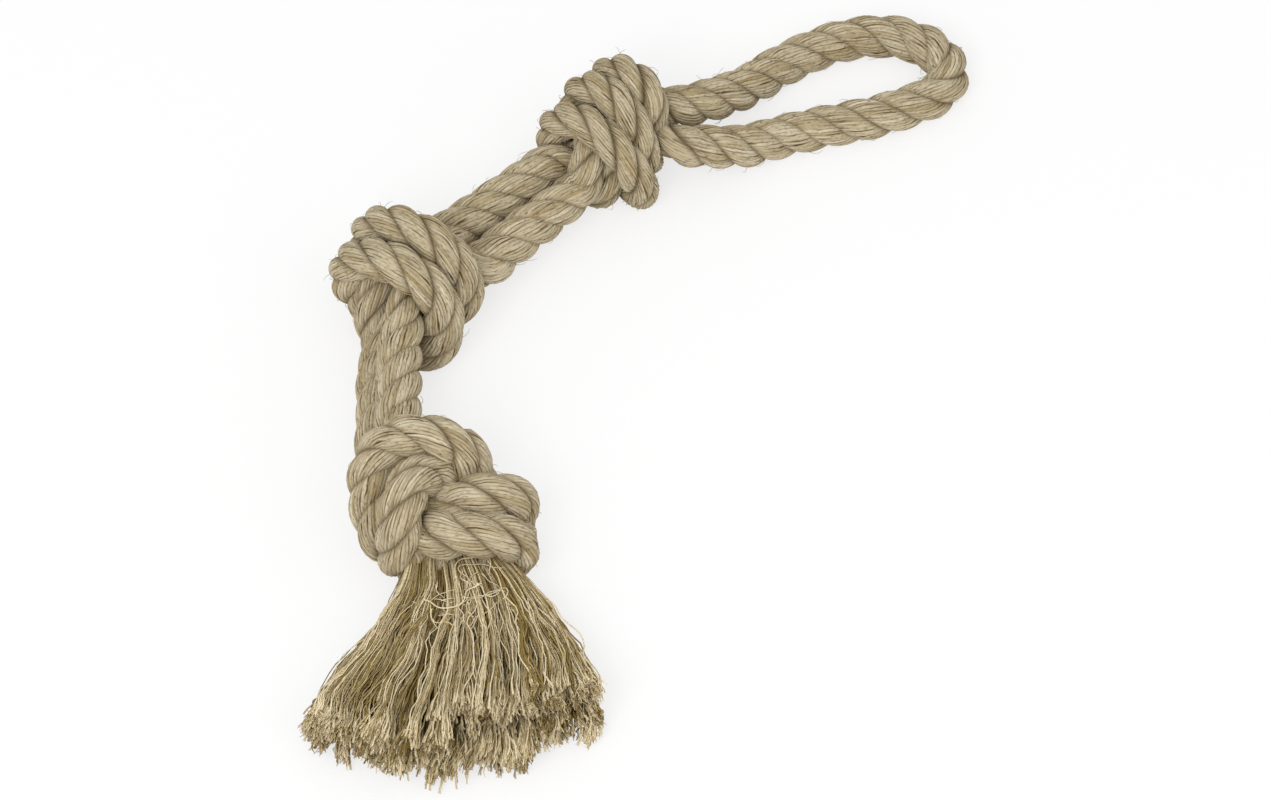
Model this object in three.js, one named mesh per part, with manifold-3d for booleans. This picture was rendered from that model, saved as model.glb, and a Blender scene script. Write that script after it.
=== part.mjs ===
// Rope dog toy: one laid rope doubled at its middle. The bight is the handle,
// three doubled overhand knots follow along the pair, and the two ends are unlaid into a tassel.
// Millimetres, +Z up, the toy lies on z = 0 with its handle toward +X and its tassel toward -Y.
import * as THREE from "three";
import { mergeVertices } from "three/addons/utils/BufferGeometryUtils.js";
import Module from "manifold-3d";

const wasm = await Module();
wasm.setup();

// Rope
const ROPE_DIAMETER = 20;
const ROPE_RADIUS = ROPE_DIAMETER / 2;
const ROPE_SIDES = 10;
const FLOOR_CUT = ROPE_DIAMETER / 10;
const CLEARANCE = 0.35;

// Knots: the rope comes in through the core, turns back over one end, wraps round the core
// and dives in at the other end to leave through the core again
const WRAP_ROPE_RADIUS = 0.95 * ROPE_RADIUS;
const WRAP_POINTS = 12;
const EXTRA_TURN_STEP = 25;
const CORE_OFFSET = 0.8 * ROPE_RADIUS;
const CORE_ROPE_RADIUS = 0.5 * ROPE_RADIUS;
const CORE_SPREAD = 45;
const CORE_NEAR = ROPE_RADIUS;
const CORE_FAR = 0.8 * ROPE_RADIUS;
const CORE_EARLY = 115;
const CORE_LATE = 90;
const TURN_NEST = 0.5 * ROPE_RADIUS;
const TURN_OFFSET = 1.6 * ROPE_RADIUS;
const TURN_ROPE_RADIUS = 0.75 * ROPE_RADIUS;
const TURN_LEAD = 34;
const KNOT_TILT = 52;

// Settling of the knots: passes that press are moved apart, then squeezed thinner
const KNOT_POINTS = 58;
const KNOT_ROUNDS = 80;
const KNOT_PINNED = 6;
const KNOT_GAP = 0.6;
const SQUEEZE_ROUNDS = 6;
const BEND_LIMIT = 0.85;

// Rounded rope ends on which one length of the pair swings against the next:
// about an axis through both ropes, and about an axis across them
const KNUCKLE_THROUGH = 1.15 * ROPE_RADIUS;
const KNUCKLE_ACROSS = 2.4 * ROPE_RADIUS;
const KNUCKLE_SIDES = 48;
const CUTTER_SIZE = 110;
const FLOOR_SIZE = 800;
const FLOOR_DEPTH = 60;

// The part's origin in the layout's coordinates
const ORIGIN_X = 2.5;
const ORIGIN_Y = -0.02;

const vec = (x, y, z) => new THREE.Vector3(x, y, z);

// Lower pair between the middle and end knots, one rope leaning on top of the other
const LOWER_HEIGHT = 21;
const LOWER_X = -111.5;
const LOWER_ALONG = vec(0, -1, 0);
const LOWER_STACK = vec(0.45, 0, 0.89).normalize();
const lowerAt = (y) => vec(LOWER_X, y, LOWER_HEIGHT);
const SWING_AT = lowerAt(-6);
const BEND_AT = lowerAt(-17);
const LOWER_ENDS = [lowerAt(10), lowerAt(-46)];

// Upper pair between the middle and handle knots, side by side
const UPPER_HEIGHT = 21;
const UPPER_ALONG = vec(0.724, 0.69, 0).normalize();
const UPPER_SIDE = vec(-UPPER_ALONG.y, UPPER_ALONG.x, 0);
const UPPER_FROM = vec(-103.5, 45.5, UPPER_HEIGHT);
const UPPER_SPREAD = 1.6;
const UPPER_LENGTH = 60;
const UPPER_NARROW = 94;
const UPPER_ENDS = [36, 92];
const upperAt = (distance) => UPPER_FROM.clone().addScaledVector(UPPER_ALONG, distance);
const upperRope = (distance, side) => {
  const spread = UPPER_SPREAD * THREE.MathUtils.clamp((UPPER_NARROW - distance) / UPPER_LENGTH, 0, 1);
  return upperAt(distance).addScaledVector(UPPER_SIDE, side * (ROPE_RADIUS + spread));
};
const FLEX_AT = upperAt(53.8);
const SWAY_AT = upperAt(66);

// Handle loop: its route from the handle knot round the bight and back to the knot
const LOOP_HEIGHT = ROPE_RADIUS - FLOOR_CUT;
const HANDLE_ROUTE = [
  vec(26, 155.4, 22), vec(38, 163.6, 17.5), vec(50, 173, 12.5), vec(64, 186.8, 8.6),
  vec(76, 195.6, LOOP_HEIGHT), vec(88, 201.8, LOOP_HEIGHT), vec(100, 206, LOOP_HEIGHT),
  vec(112, 207.8, LOOP_HEIGHT), vec(124, 206.4, LOOP_HEIGHT), vec(134.5, 201.6, LOOP_HEIGHT),
  vec(142.2, 194, LOOP_HEIGHT), vec(145, 185, LOOP_HEIGHT), vec(142.3, 176.6, LOOP_HEIGHT),
  vec(134.5, 170, LOOP_HEIGHT), vec(123, 164.4, LOOP_HEIGHT), vec(111, 159.8, LOOP_HEIGHT),
  vec(98, 156.2, LOOP_HEIGHT), vec(86, 153.4, LOOP_HEIGHT), vec(76, 150.6, LOOP_HEIGHT),
  vec(64, 146.2, 8.6), vec(50, 138.5, 12.5), vec(38, 134, 17.5), vec(26, 131, 22),
];
const HANDLE_POINTS = 46;
const HANDLE_ALONG = vec(1, 0, 0);
const HANDLE_ACROSS = vec(0, 1, 0);
const LIFT_AT = vec(38, 148, 17.5);
const CURL_AT = vec(76, 170, LOOP_HEIGHT);

// Tassel: the two rope ends, then six strands opened into locks of yarn in two layers.
// The locks share a fan between a left and a right edge, from the rope ends to the cut tips.
const TASSEL_X = -79;
const TASSEL_HEIGHT = 13;
const TASSEL_ALONG = vec(0, -1, 0);
const TASSEL_ACROSS = vec(1, 0, 0);
const TASSEL_LIFT_AT = vec(TASSEL_X, -127, TASSEL_HEIGHT);
const TASSEL_FLARE = -122;
const TASSEL_FACE = -133;
const FAN_GAP = 0.8;
const FAN_ROOT_X = -75.5;
const FAN_ROOT_WIDTH = 77;
const LOCK_ROOT_RADIUS = FAN_ROOT_WIDTH / 6 - FAN_GAP / 2;
const FAN_ROOT_Y = TASSEL_FACE - CLEARANCE - LOCK_ROOT_RADIUS;
const FAN_LEFT = [
  vec(FAN_ROOT_X - FAN_ROOT_WIDTH / 2, FAN_ROOT_Y, 0),
  vec(-134, -164, 0),
  vec(-150, -192, 0),
];
const FAN_RIGHT = [
  vec(FAN_ROOT_X + FAN_ROOT_WIDTH / 2, FAN_ROOT_Y, 0),
  vec(-17, -160, 0),
  vec(-13, -189, 0),
];
const FAN_TIP_DROP = 27;
const LOCK_SIDES = 16;
const LOCK_STEPS = 5;
const LOCK_SQUARENESS = 0.75;
const FLARE_SQUARENESS = 0.4;
const LOWER_LOCK = { root: 7.4, rootHeight: 5.4, tip: 8, tipHeight: 10, length: 1 };
const UPPER_LOCK = { root: 18.6, rootHeight: 5.2, tip: 30, tipHeight: 11.3, length: 0.86 };

// Colours of the yarn
const ROPE_COLOUR = 0xa99b80;
const TASSEL_COLOUR = 0x8f7e5c;

// A smooth curve through points, as evenly spaced points, with a radius carried along
function evenRoute(points, radii, count) {
  const curve = new THREE.CatmullRomCurve3(points, false, "centripetal");
  const spans = points.length - 1;
  const fine = spans * 16;
  const place = [];
  const radius = [];
  const along = [0];
  for (let i = 0; i <= fine; i += 1) {
    const t = i / fine;
    const span = Math.min(Math.floor(t * spans), spans - 1);
    const part = t * spans - span;
    const ease = part * part * (3 - 2 * part);
    place.push(curve.getPoint(t));
    radius.push(radii[span] + (radii[span + 1] - radii[span]) * ease);
    if (i > 0) along.push(along[i - 1] + place[i].distanceTo(place[i - 1]));
  }
  const route = [];
  let at = 0;
  for (let i = 0; i < count; i += 1) {
    const want = (along[fine] * i) / (count - 1);
    while (at < fine - 1 && along[at + 1] < want) at += 1;
    const f = (want - along[at]) / (along[at + 1] - along[at]);
    route.push({
      place: place[at].clone().lerp(place[at + 1], f),
      radius: radius[at] + (radius[at + 1] - radius[at]) * f,
    });
  }
  return route;
}

// The two passes of a knot that is laid by hand, with the rope's radius at each point
function laidRoutes(knot) {
  return [1, -1].map((side, i) => {
    const before = knot.leadIn(side * knot.sideIn);
    const after = knot.leadOut(side * knot.sideOut);
    const points = knot.laid[i].map(([x, y, z]) => vec(x, y, z));
    const radii = knot.laid[i].map((point) => point[3] * ROPE_RADIUS);
    const ends = [before, after].map((lead) => lead.map(() => ROPE_RADIUS));
    return evenRoute([...before, ...points, ...after], [...ends[0], ...radii, ...ends[1]], KNOT_POINTS);
  });
}

// The two passes of a doubled overhand knot round its bent axis, before they settle
function wrappedRoutes(knot) {
  const centre = vec(knot.x, knot.y, knot.wrap + WRAP_ROPE_RADIUS - FLOOR_CUT);
  const tilt = THREE.MathUtils.degToRad(KNOT_TILT);
  const lift = vec(0, Math.sin(tilt), Math.cos(tilt));
  const heading = (degrees) => {
    const angle = THREE.MathUtils.degToRad(degrees);
    return vec(Math.cos(angle), Math.sin(angle), 0);
  };
  const at = (along, offset, degrees) => {
    const axis = heading(knot.heading + knot.bend * along);
    const first = lift.clone().addScaledVector(axis, -lift.dot(axis)).normalize();
    const second = axis.clone().cross(first);
    const angle = THREE.MathUtils.degToRad(degrees);
    return centre
      .clone()
      .addScaledVector(heading(knot.heading + (knot.bend * along) / 2), along)
      .addScaledVector(first, offset * Math.cos(angle))
      .addScaledVector(second, offset * Math.sin(angle));
  };
  const { hand, lean, reach, sweep, wrap } = knot;
  const last = knot.start + hand * sweep;
  const wrapRope = knot.rope * ROPE_RADIUS;
  const spacing = 2 * wrapRope + KNOT_GAP;
  return [1, -1].map((side, i) => {
    const points = [];
    const radii = [];
    const add = (point, radius) => {
      points.push(point);
      radii.push(radius);
    };
    const start = knot.start - hand * knot.extra[i];
    const steps = WRAP_POINTS + Math.floor(knot.extra[i] / EXTRA_TURN_STEP);
    const alongAt = (turn) => (side * spacing) / 2 + lean * (0.5 - (turn - knot.start) / (hand * sweep));
    const inner = side * knot.coreIn * CORE_SPREAD;
    const outer = side * knot.coreOut * CORE_SPREAD;
    const turnIn = Math.max(reach + TURN_NEST * side, alongAt(start));
    knot.leadIn(side * knot.sideIn).forEach((point) => add(point, ROPE_RADIUS));
    add(at(-CORE_NEAR, CORE_OFFSET, start - hand * CORE_EARLY + inner), CORE_ROPE_RADIUS);
    add(at(CORE_FAR, CORE_OFFSET, start - hand * CORE_LATE + inner), CORE_ROPE_RADIUS);
    add(at(turnIn, TURN_OFFSET, start - hand * TURN_LEAD), TURN_ROPE_RADIUS);
    for (let step = 0; step <= steps; step += 1) {
      const turn = start + ((last - start) * step) / steps;
      add(at(alongAt(turn), wrap, turn), wrapRope);
    }
    add(at(TURN_NEST * side - reach, TURN_OFFSET, last + hand * TURN_LEAD), TURN_ROPE_RADIUS);
    add(at(-CORE_FAR, CORE_OFFSET, last + hand * CORE_LATE + outer), CORE_ROPE_RADIUS);
    add(at(CORE_NEAR, CORE_OFFSET, last + hand * CORE_EARLY + outer), CORE_ROPE_RADIUS);
    knot.leadOut(side * knot.sideOut).forEach((point) => add(point, ROPE_RADIUS));
    return evenRoute(points, radii, KNOT_POINTS);
  });
}

// Every two points of a knot's ropes that lie near each other but not along the same pass
function eachContact(ropes, visit) {
  ropes.forEach((a, ia) => {
    const step = a[1].place.distanceTo(a[0].place);
    ropes.forEach((b, ib) => {
      if (ib < ia) return;
      for (let i = 0; i < a.length; i += 1) {
        for (let j = ia === ib ? i + 1 : 0; j < b.length; j += 1) {
          const reach = 1.7 * (a[i].full + b[j].full + KNOT_GAP);
          if (ia === ib && (j - i) * step < reach) continue;
          visit(a[i], b[j]);
        }
      }
    });
  });
}

// Moves the passes of a knot apart where they press, smoothly along each rope,
// and squeezes the rope thinner where they still press or where it turns sharply
function settle(ropes) {
  ropes.flat().forEach((p) => {
    p.full = p.radius;
    p.base = p.place.clone();
  });
  for (let round = 0; round < KNOT_ROUNDS; round += 1) {
    ropes.flat().forEach((p) => {
      p.push = vec(0, 0, 0);
      p.touches = 0;
    });
    eachContact(ropes, (p, q) => {
      const apart = p.place.clone().sub(q.place);
      const distance = Math.max(apart.length(), 1e-6);
      const need = p.radius + q.radius + KNOT_GAP;
      if (distance >= need) return;
      apart.multiplyScalar((need - distance) / 2 / distance);
      p.push.add(apart);
      q.push.sub(apart);
      p.touches += 1;
      q.touches += 1;
    });
    ropes.forEach((rope) => {
      const end = rope.length - 1;
      let shift = rope.map((p) => {
        const move = p.place.clone().sub(p.base);
        return p.touches > 0 ? move.addScaledVector(p.push, 0.9 / Math.sqrt(p.touches)) : move;
      });
      for (let pass = 0; pass < 2; pass += 1) {
        shift = shift.map((move, i) => {
          if (i < KNOT_PINNED || i > end - KNOT_PINNED) return vec(0, 0, 0);
          const beforeAndAfter = shift[i - 1].clone().add(shift[i + 1]);
          return move.clone().multiplyScalar(0.5).addScaledVector(beforeAndAfter, 0.25);
        });
      }
      rope.forEach((p, i) => p.place.copy(p.base).add(shift[i]));
    });
  }
  ropes.forEach((rope) => {
    rope.forEach((p, i) => {
      if (i < 2 || i > rope.length - 3) return;
      const before = p.place.clone().sub(rope[i - 2].place);
      const after = rope[i + 2].place.clone().sub(p.place);
      const turn = before.angleTo(after);
      const bend = (before.length() + after.length()) / 2 / Math.max(turn, 1e-6);
      p.radius = Math.min(p.radius, BEND_LIMIT * bend);
    });
  });
  for (let round = 0; round < SQUEEZE_ROUNDS; round += 1) {
    ropes.flat().forEach((p) => {
      p.scale = 1;
    });
    eachContact(ropes, (p, q) => {
      const scale = (p.place.distanceTo(q.place) - KNOT_GAP) / (p.radius + q.radius);
      p.scale = Math.min(p.scale, scale);
      q.scale = Math.min(q.scale, scale);
    });
    ropes.flat().forEach((p) => {
      p.radius *= p.scale;
    });
  }
  let gap = Infinity;
  eachContact(ropes, (p, q) => {
    gap = Math.min(gap, p.place.distanceTo(q.place) - p.radius - q.radius);
  });
  return gap;
}

// A closed skin over rings of points, with a flat fan over each end
function skin(rings) {
  const sides = rings[0].length;
  const position = rings.flat().flatMap((point) => [point.x, point.y, point.z]);
  const index = [];
  [rings[0], rings[rings.length - 1]].forEach((ring) => {
    const centre = ring.reduce((sum, point) => sum.add(point), vec(0, 0, 0)).divideScalar(sides);
    position.push(centre.x, centre.y, centre.z);
  });
  for (let i = 0; i < rings.length - 1; i += 1) {
    for (let k = 0; k < sides; k += 1) {
      const a = i * sides + k;
      const b = i * sides + ((k + 1) % sides);
      index.push(a, b, a + sides, b, b + sides, a + sides);
    }
  }
  const start = rings.length * sides;
  for (let k = 0; k < sides; k += 1) {
    const next = (k + 1) % sides;
    index.push(start, next, k);
    index.push(start + 1, start - sides + k, start - sides + next);
  }
  const geometry = new THREE.BufferGeometry();
  geometry.setAttribute("position", new THREE.Float32BufferAttribute(position, 3));
  geometry.setIndex(index);
  return geometry;
}

// A closed round tube along a route whose radius may change
function tubeGeometry(route, sides) {
  let side = null;
  const rings = route.map((point, i) => {
    const ahead = route[Math.min(i + 1, route.length - 1)].place;
    const behind = route[Math.max(i - 1, 0)].place;
    const along = ahead.clone().sub(behind).normalize();
    if (side === null) side = Math.abs(along.z) < 0.9 ? vec(0, 0, 1).cross(along) : vec(1, 0, 0);
    side.addScaledVector(along, -side.dot(along)).normalize();
    const rise = along.clone().cross(side);
    const ring = [];
    for (let k = 0; k < sides; k += 1) {
      const angle = (2 * Math.PI * (k + 0.5)) / sides;
      const place = point.place.clone().addScaledVector(side, point.radius * Math.cos(angle));
      ring.push(place.addScaledVector(rise, point.radius * Math.sin(angle)));
    }
    return ring;
  });
  return skin(rings);
}

// A closed geometry as a solid for cutting, and a solid back as a geometry
function solidOf(geometry) {
  const bare = geometry.clone();
  bare.deleteAttribute("normal");
  bare.deleteAttribute("uv");
  const merged = mergeVertices(bare, 1e-4);
  return new wasm.Manifold(
    new wasm.Mesh({
      numProp: 3,
      vertProperties: new Float32Array(merged.attributes.position.array),
      triVerts: new Uint32Array(merged.index.array),
    }),
  );
}

function geometryOf(solid) {
  const mesh = solid.getMesh();
  const geometry = new THREE.BufferGeometry();
  geometry.setAttribute("position", new THREE.BufferAttribute(mesh.vertProperties, 3));
  geometry.setIndex(new THREE.BufferAttribute(mesh.triVerts, 1));
  geometry.computeVertexNormals();
  return geometry;
}

// Half space on one side of a plane, as a large block
function blockBeyond(point, along) {
  const block = new THREE.BoxGeometry(CUTTER_SIZE, CUTTER_SIZE, CUTTER_SIZE);
  const turn = new THREE.Quaternion().setFromUnitVectors(vec(0, 0, 1), along.clone().normalize());
  const centre = point.clone().addScaledVector(along, CUTTER_SIZE / 2);
  return solidOf(block.applyMatrix4(new THREE.Matrix4().compose(centre, turn, vec(1, 1, 1))));
}

function knuckle(point, axis, radius) {
  const bar = new THREE.CylinderGeometry(radius, radius, CUTTER_SIZE, KNUCKLE_SIDES);
  const turn = new THREE.Quaternion().setFromUnitVectors(vec(0, 1, 0), axis.clone().normalize());
  return solidOf(bar.applyMatrix4(new THREE.Matrix4().compose(point, turn, vec(1, 1, 1))));
}

// A rope that ends at a hinge in a round nose, or in the hollow that takes that nose
const roundEnd = (solid, point, axis, along, radius) =>
  solid.subtract(blockBeyond(point, along).subtract(knuckle(point, axis, radius)));
const hollowEnd = (solid, point, axis, along, radius) =>
  solid.subtract(blockBeyond(point, along)).subtract(knuckle(point, axis, radius + CLEARANCE));

const onFloor = (solid) => solid.subtract(floorBlock);
const floorSlab = new THREE.BoxGeometry(FLOOR_SIZE, FLOOR_SIZE, FLOOR_DEPTH);
const floorBlock = solidOf(floorSlab.translate(0, 0, -FLOOR_DEPTH / 2));

// The layout is shifted so that the part's origin is under the middle of its box
const toy = new THREE.Group();
const layout = new THREE.Group();
layout.position.set(-ORIGIN_X, -ORIGIN_Y, 0);
toy.add(layout);

function addPiece(name, solid, colour) {
  const material = new THREE.MeshStandardMaterial({ color: colour, roughness: 0.95, metalness: 0 });
  const mesh = new THREE.Mesh(geometryOf(solid), material);
  mesh.name = name;
  layout.add(mesh);
}

const beside = (point, across, side) => point.clone().addScaledVector(across, side * ROPE_RADIUS);
const stacked = (point, side) => beside(point, LOWER_STACK, side);

// Passes of the end knot: places, and the rope's radius there as a share of the free rope's.
// The upper rope of the pair makes the upper bight and comes back over the top of the knot,
// the lower rope makes the lower bight and comes back across the front.
const END_KNOT_PASSES = [
  [
    [-102, -64, 27, 0.75], [-99, -76, 23, 0.55], [-90, -83.5, 31, 0.75], [-79, -82.5, 37.5, 0.92],
    [-66, -82.5, 39, 0.94], [-57, -81, 34, 0.94], [-55, -79, 23, 0.88], [-58, -81, 11, 0.7],
    [-68, -85, 7, 0.65], [-86, -87, 7, 0.65], [-97, -89, 8, 0.75], [-105.5, -90.5, 12, 0.8],
    [-111.5, -83.5, 19, 0.88], [-115, -75.5, 27, 0.92], [-115.5, -70, 35, 0.92],
    [-111, -66.5, 42, 0.92], [-103, -67, 46, 0.92], [-95, -69, 47, 0.92], [-87, -71.5, 43, 0.92],
    [-81.5, -72.5, 34, 0.82], [-78, -73.5, 24, 0.6], [-71.5, -80, 20, 0.55], [-67.5, -94, 20, 0.6],
  ],
  [
    [-110, -64, 13, 0.75], [-105, -80, 15, 0.55], [-97, -92, 23, 0.6], [-86, -101, 32, 0.85],
    [-74, -103.5, 34.5, 0.92], [-62, -103, 31, 0.92], [-58.5, -100.5, 20, 0.88],
    [-62, -99.5, 9.5, 0.7], [-72, -100, 7, 0.65], [-87, -99.5, 7.5, 0.65], [-94, -101, 14, 0.8],
    [-97.5, -102.5, 27, 0.88], [-98.5, -101.5, 39, 0.92], [-98, -96.5, 47, 0.92], [-95, -89, 50, 0.92],
    [-90, -81.5, 45, 0.92], [-85.5, -77, 35, 0.8], [-82, -77, 25, 0.55], [-80, -85, 19.5, 0.55],
    [-81, -96, 20, 0.6],
  ],
];

// How each knot lies, turns and takes in its pair
const knots = {
  handle: {
    x: -8, y: 139, heading: 51, bend: -1.0, wrap: 19, rope: 0.74, reach: 14,
    hand: -1, start: 196, sweep: 342, lean: 15, extra: [0, 280],
    sideIn: -1, coreIn: 1, coreOut: 1, sideOut: -1,
    leadIn: (side) => [74, 88, 97].map((d) => upperRope(d, side)),
    leadOut: (side) => (side > 0
      ? [vec(18, 151.5, 25.5), HANDLE_ROUTE[0], HANDLE_ROUTE[1]]
      : [vec(18, 130, 25.5), HANDLE_ROUTE[22], HANDLE_ROUTE[21]]),
  },
  middle: {
    x: -104.5, y: 47.6, heading: 65, bend: 0, wrap: 22.6, rope: 0.95, reach: 18,
    hand: 1, start: 234, sweep: 290, lean: 12, extra: [0, 0],
    sideIn: -1, coreIn: 1, coreOut: -1, sideOut: 1,
    leadIn: (side) => [lowerAt(-7), lowerAt(7), vec(-110, 16, 22.5)].map((p) => stacked(p, side)),
    leadOut: (side) => [34, 42, 56].map((d) => upperRope(d, side)),
  },
  end: {
    laid: END_KNOT_PASSES, sideIn: 1, sideOut: 1,
    leadIn: (side) => [lowerAt(-24), lowerAt(-40), vec(-109, -50, 22.5)].map((p) => stacked(p, side)),
    leadOut: (side) => [
      vec(TASSEL_X, -115, 14),
      vec(TASSEL_X, -120, 13.3),
      vec(TASSEL_X, -130, TASSEL_HEIGHT),
    ].map((p) => beside(p, TASSEL_ACROSS, side)),
  },
};

// Rope a runs from the far leg of the handle, rope b from the near leg
const tied = {};
Object.entries(knots).forEach(([name, knot]) => {
  const ropes = knot.laid ? laidRoutes(knot) : wrappedRoutes(knot);
  const gap = settle(ropes);
  const thinnest = Math.min(...ropes.flat().map((p) => p.radius));
  console.log(`${name} knot: least gap ${gap.toFixed(2)} mm`);
  console.log(`${name} knot: thinnest rope ${(2 * thinnest).toFixed(1)} mm`);
  tied[name] = ropes.map((rope) => solidOf(tubeGeometry(rope, ROPE_SIDES)));
});

const LOWER_ACROSS = LOWER_ALONG.clone().cross(LOWER_STACK);
const UP = vec(0, 0, 1);

// Handle knot: rope a is its second pass, rope b its first
const handleKnot = [tied.handle[1], tied.handle[0]].map((solid) => {
  const sway = hollowEnd(solid, SWAY_AT, UP, UPPER_ALONG.clone().negate(), KNUCKLE_ACROSS);
  return onFloor(hollowEnd(sway, LIFT_AT, HANDLE_ACROSS, HANDLE_ALONG, KNUCKLE_THROUGH));
});
addPiece("handle_knot_rope_a", handleKnot[0], ROPE_COLOUR);
addPiece("handle_knot_rope_b", handleKnot[1], ROPE_COLOUR);

const middleKnot = tied.middle.map((solid) => {
  const swing = hollowEnd(solid, SWING_AT, LOWER_STACK, LOWER_ALONG, KNUCKLE_THROUGH);
  return onFloor(hollowEnd(swing, FLEX_AT, UPPER_SIDE, UPPER_ALONG, KNUCKLE_THROUGH));
});
addPiece("middle_knot_rope_a", middleKnot[0], ROPE_COLOUR);
addPiece("middle_knot_rope_b", middleKnot[1], ROPE_COLOUR);

const endKnot = [tied.end[1], tied.end[0]].map((solid) => {
  const bend = hollowEnd(solid, BEND_AT, LOWER_ACROSS, LOWER_ALONG.clone().negate(), KNUCKLE_ACROSS);
  return onFloor(hollowEnd(bend, TASSEL_LIFT_AT, TASSEL_ACROSS, TASSEL_ALONG, KNUCKLE_THROUGH));
});
addPiece("end_knot_rope_a", endKnot[0], ROPE_COLOUR);
addPiece("end_knot_rope_b", endKnot[1], ROPE_COLOUR);

// A straight length of rope
function straightRope(a, b) {
  const rings = [0, 1 / 3, 2 / 3, 1].map((f) => ({ place: a.clone().lerp(b, f), radius: ROPE_RADIUS }));
  return solidOf(tubeGeometry(rings, ROPE_SIDES));
}

[["a", 1], ["b", -1]].forEach(([letter, side]) => {
  const rope = straightRope(upperRope(UPPER_ENDS[0], side), upperRope(UPPER_ENDS[1], side));
  const flexed = roundEnd(rope, FLEX_AT, UPPER_SIDE, UPPER_ALONG.clone().negate(), KNUCKLE_THROUGH);
  const swayed = roundEnd(flexed, SWAY_AT, UP, UPPER_ALONG, KNUCKLE_ACROSS);
  addPiece(`upper_rope_${letter}`, swayed, ROPE_COLOUR);
});

[["a", -1], ["b", 1]].forEach(([letter, side]) => {
  const rope = straightRope(stacked(LOWER_ENDS[0], side), stacked(LOWER_ENDS[1], side));
  const swung = roundEnd(rope, SWING_AT, LOWER_STACK, LOWER_ALONG.clone().negate(), KNUCKLE_THROUGH);
  const bent = roundEnd(swung, BEND_AT, LOWER_ACROSS, LOWER_ALONG, KNUCKLE_ACROSS);
  addPiece(`lower_rope_${letter}`, bent, ROPE_COLOUR);
});

// Handle: two legs and the bight
const loopRadii = HANDLE_ROUTE.map(() => ROPE_RADIUS);
const loop = evenRoute(HANDLE_ROUTE, loopRadii, HANDLE_POINTS);
const loopSolid = solidOf(tubeGeometry(loop, ROPE_SIDES));
const middleOfLegs = LIFT_AT.clone().lerp(CURL_AT, 0.5);
const towardFarLeg = vec(LIFT_AT.y - CURL_AT.y, CURL_AT.x - LIFT_AT.x, 0).normalize();
const inner = HANDLE_ALONG.clone().negate();
const legs = roundEnd(
  roundEnd(loopSolid, LIFT_AT, HANDLE_ACROSS, inner, KNUCKLE_THROUGH),
  CURL_AT, HANDLE_ACROSS, HANDLE_ALONG, KNUCKLE_THROUGH,
);
const farLeg = legs.subtract(blockBeyond(middleOfLegs, towardFarLeg.clone().negate()));
const nearLeg = legs.subtract(blockBeyond(middleOfLegs, towardFarLeg));
addPiece("handle_leg_a", onFloor(farLeg), ROPE_COLOUR);
addPiece("handle_leg_b", onFloor(nearLeg), ROPE_COLOUR);
const bight = hollowEnd(loopSolid, CURL_AT, HANDLE_ACROSS, inner, KNUCKLE_THROUGH);
addPiece("handle_bight", onFloor(bight), ROPE_COLOUR);

// Tassel ends of the two ropes, round at the knot and spread flat where the strands part
const squared = (value, power) => Math.sign(value) * Math.abs(value) ** power;
function flaredRope(side) {
  const from = TASSEL_LIFT_AT.y + 2 * ROPE_RADIUS;
  const faceMiddle = FAN_ROOT_X + (side * FAN_ROOT_WIDTH) / 4;
  const faceHalf = FAN_ROOT_WIDTH / 4 - FAN_GAP / 2;
  const rings = [0, 1, 2, 3, 4, 5].map((step) => {
    const spread = (step / 5) ** 2;
    const y = step === 0 ? from : TASSEL_FLARE + (TASSEL_FACE - TASSEL_FLARE) * (step / 5);
    const middle = THREE.MathUtils.lerp(TASSEL_X + side * ROPE_RADIUS, faceMiddle, spread);
    const half = THREE.MathUtils.lerp(ROPE_RADIUS - CLEARANCE / 2, faceHalf, spread);
    const power = THREE.MathUtils.lerp(1, FLARE_SQUARENESS, spread);
    return Array.from({ length: LOCK_SIDES }, (_, k) => {
      const angle = (2 * Math.PI * (k + 0.5)) / LOCK_SIDES;
      const x = middle + half * squared(Math.cos(angle), power);
      return vec(x, y, TASSEL_HEIGHT + ROPE_RADIUS * squared(Math.sin(angle), power));
    });
  });
  return solidOf(skin(rings));
}
[["a", -1], ["b", 1]].forEach(([letter, side]) => {
  const rope = flaredRope(side);
  const back = TASSEL_ALONG.clone().negate();
  const nose = roundEnd(rope, TASSEL_LIFT_AT, TASSEL_ACROSS, back, KNUCKLE_THROUGH);
  addPiece(`tassel_end_${letter}`, onFloor(nose), ROPE_COLOUR);
});

// A place in the fan: across from -1 at the left edge to 1 at the right, along from 0 to 1
const fanLeft = new THREE.QuadraticBezierCurve3(...FAN_LEFT);
const fanRight = new THREE.QuadraticBezierCurve3(...FAN_RIGHT);
function fanAt(across, along) {
  const place = fanLeft.getPoint(along).lerp(fanRight.getPoint(along), (across + 1) / 2);
  place.y -= FAN_TIP_DROP * along * along * (1 - across * across);
  return place;
}

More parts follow.
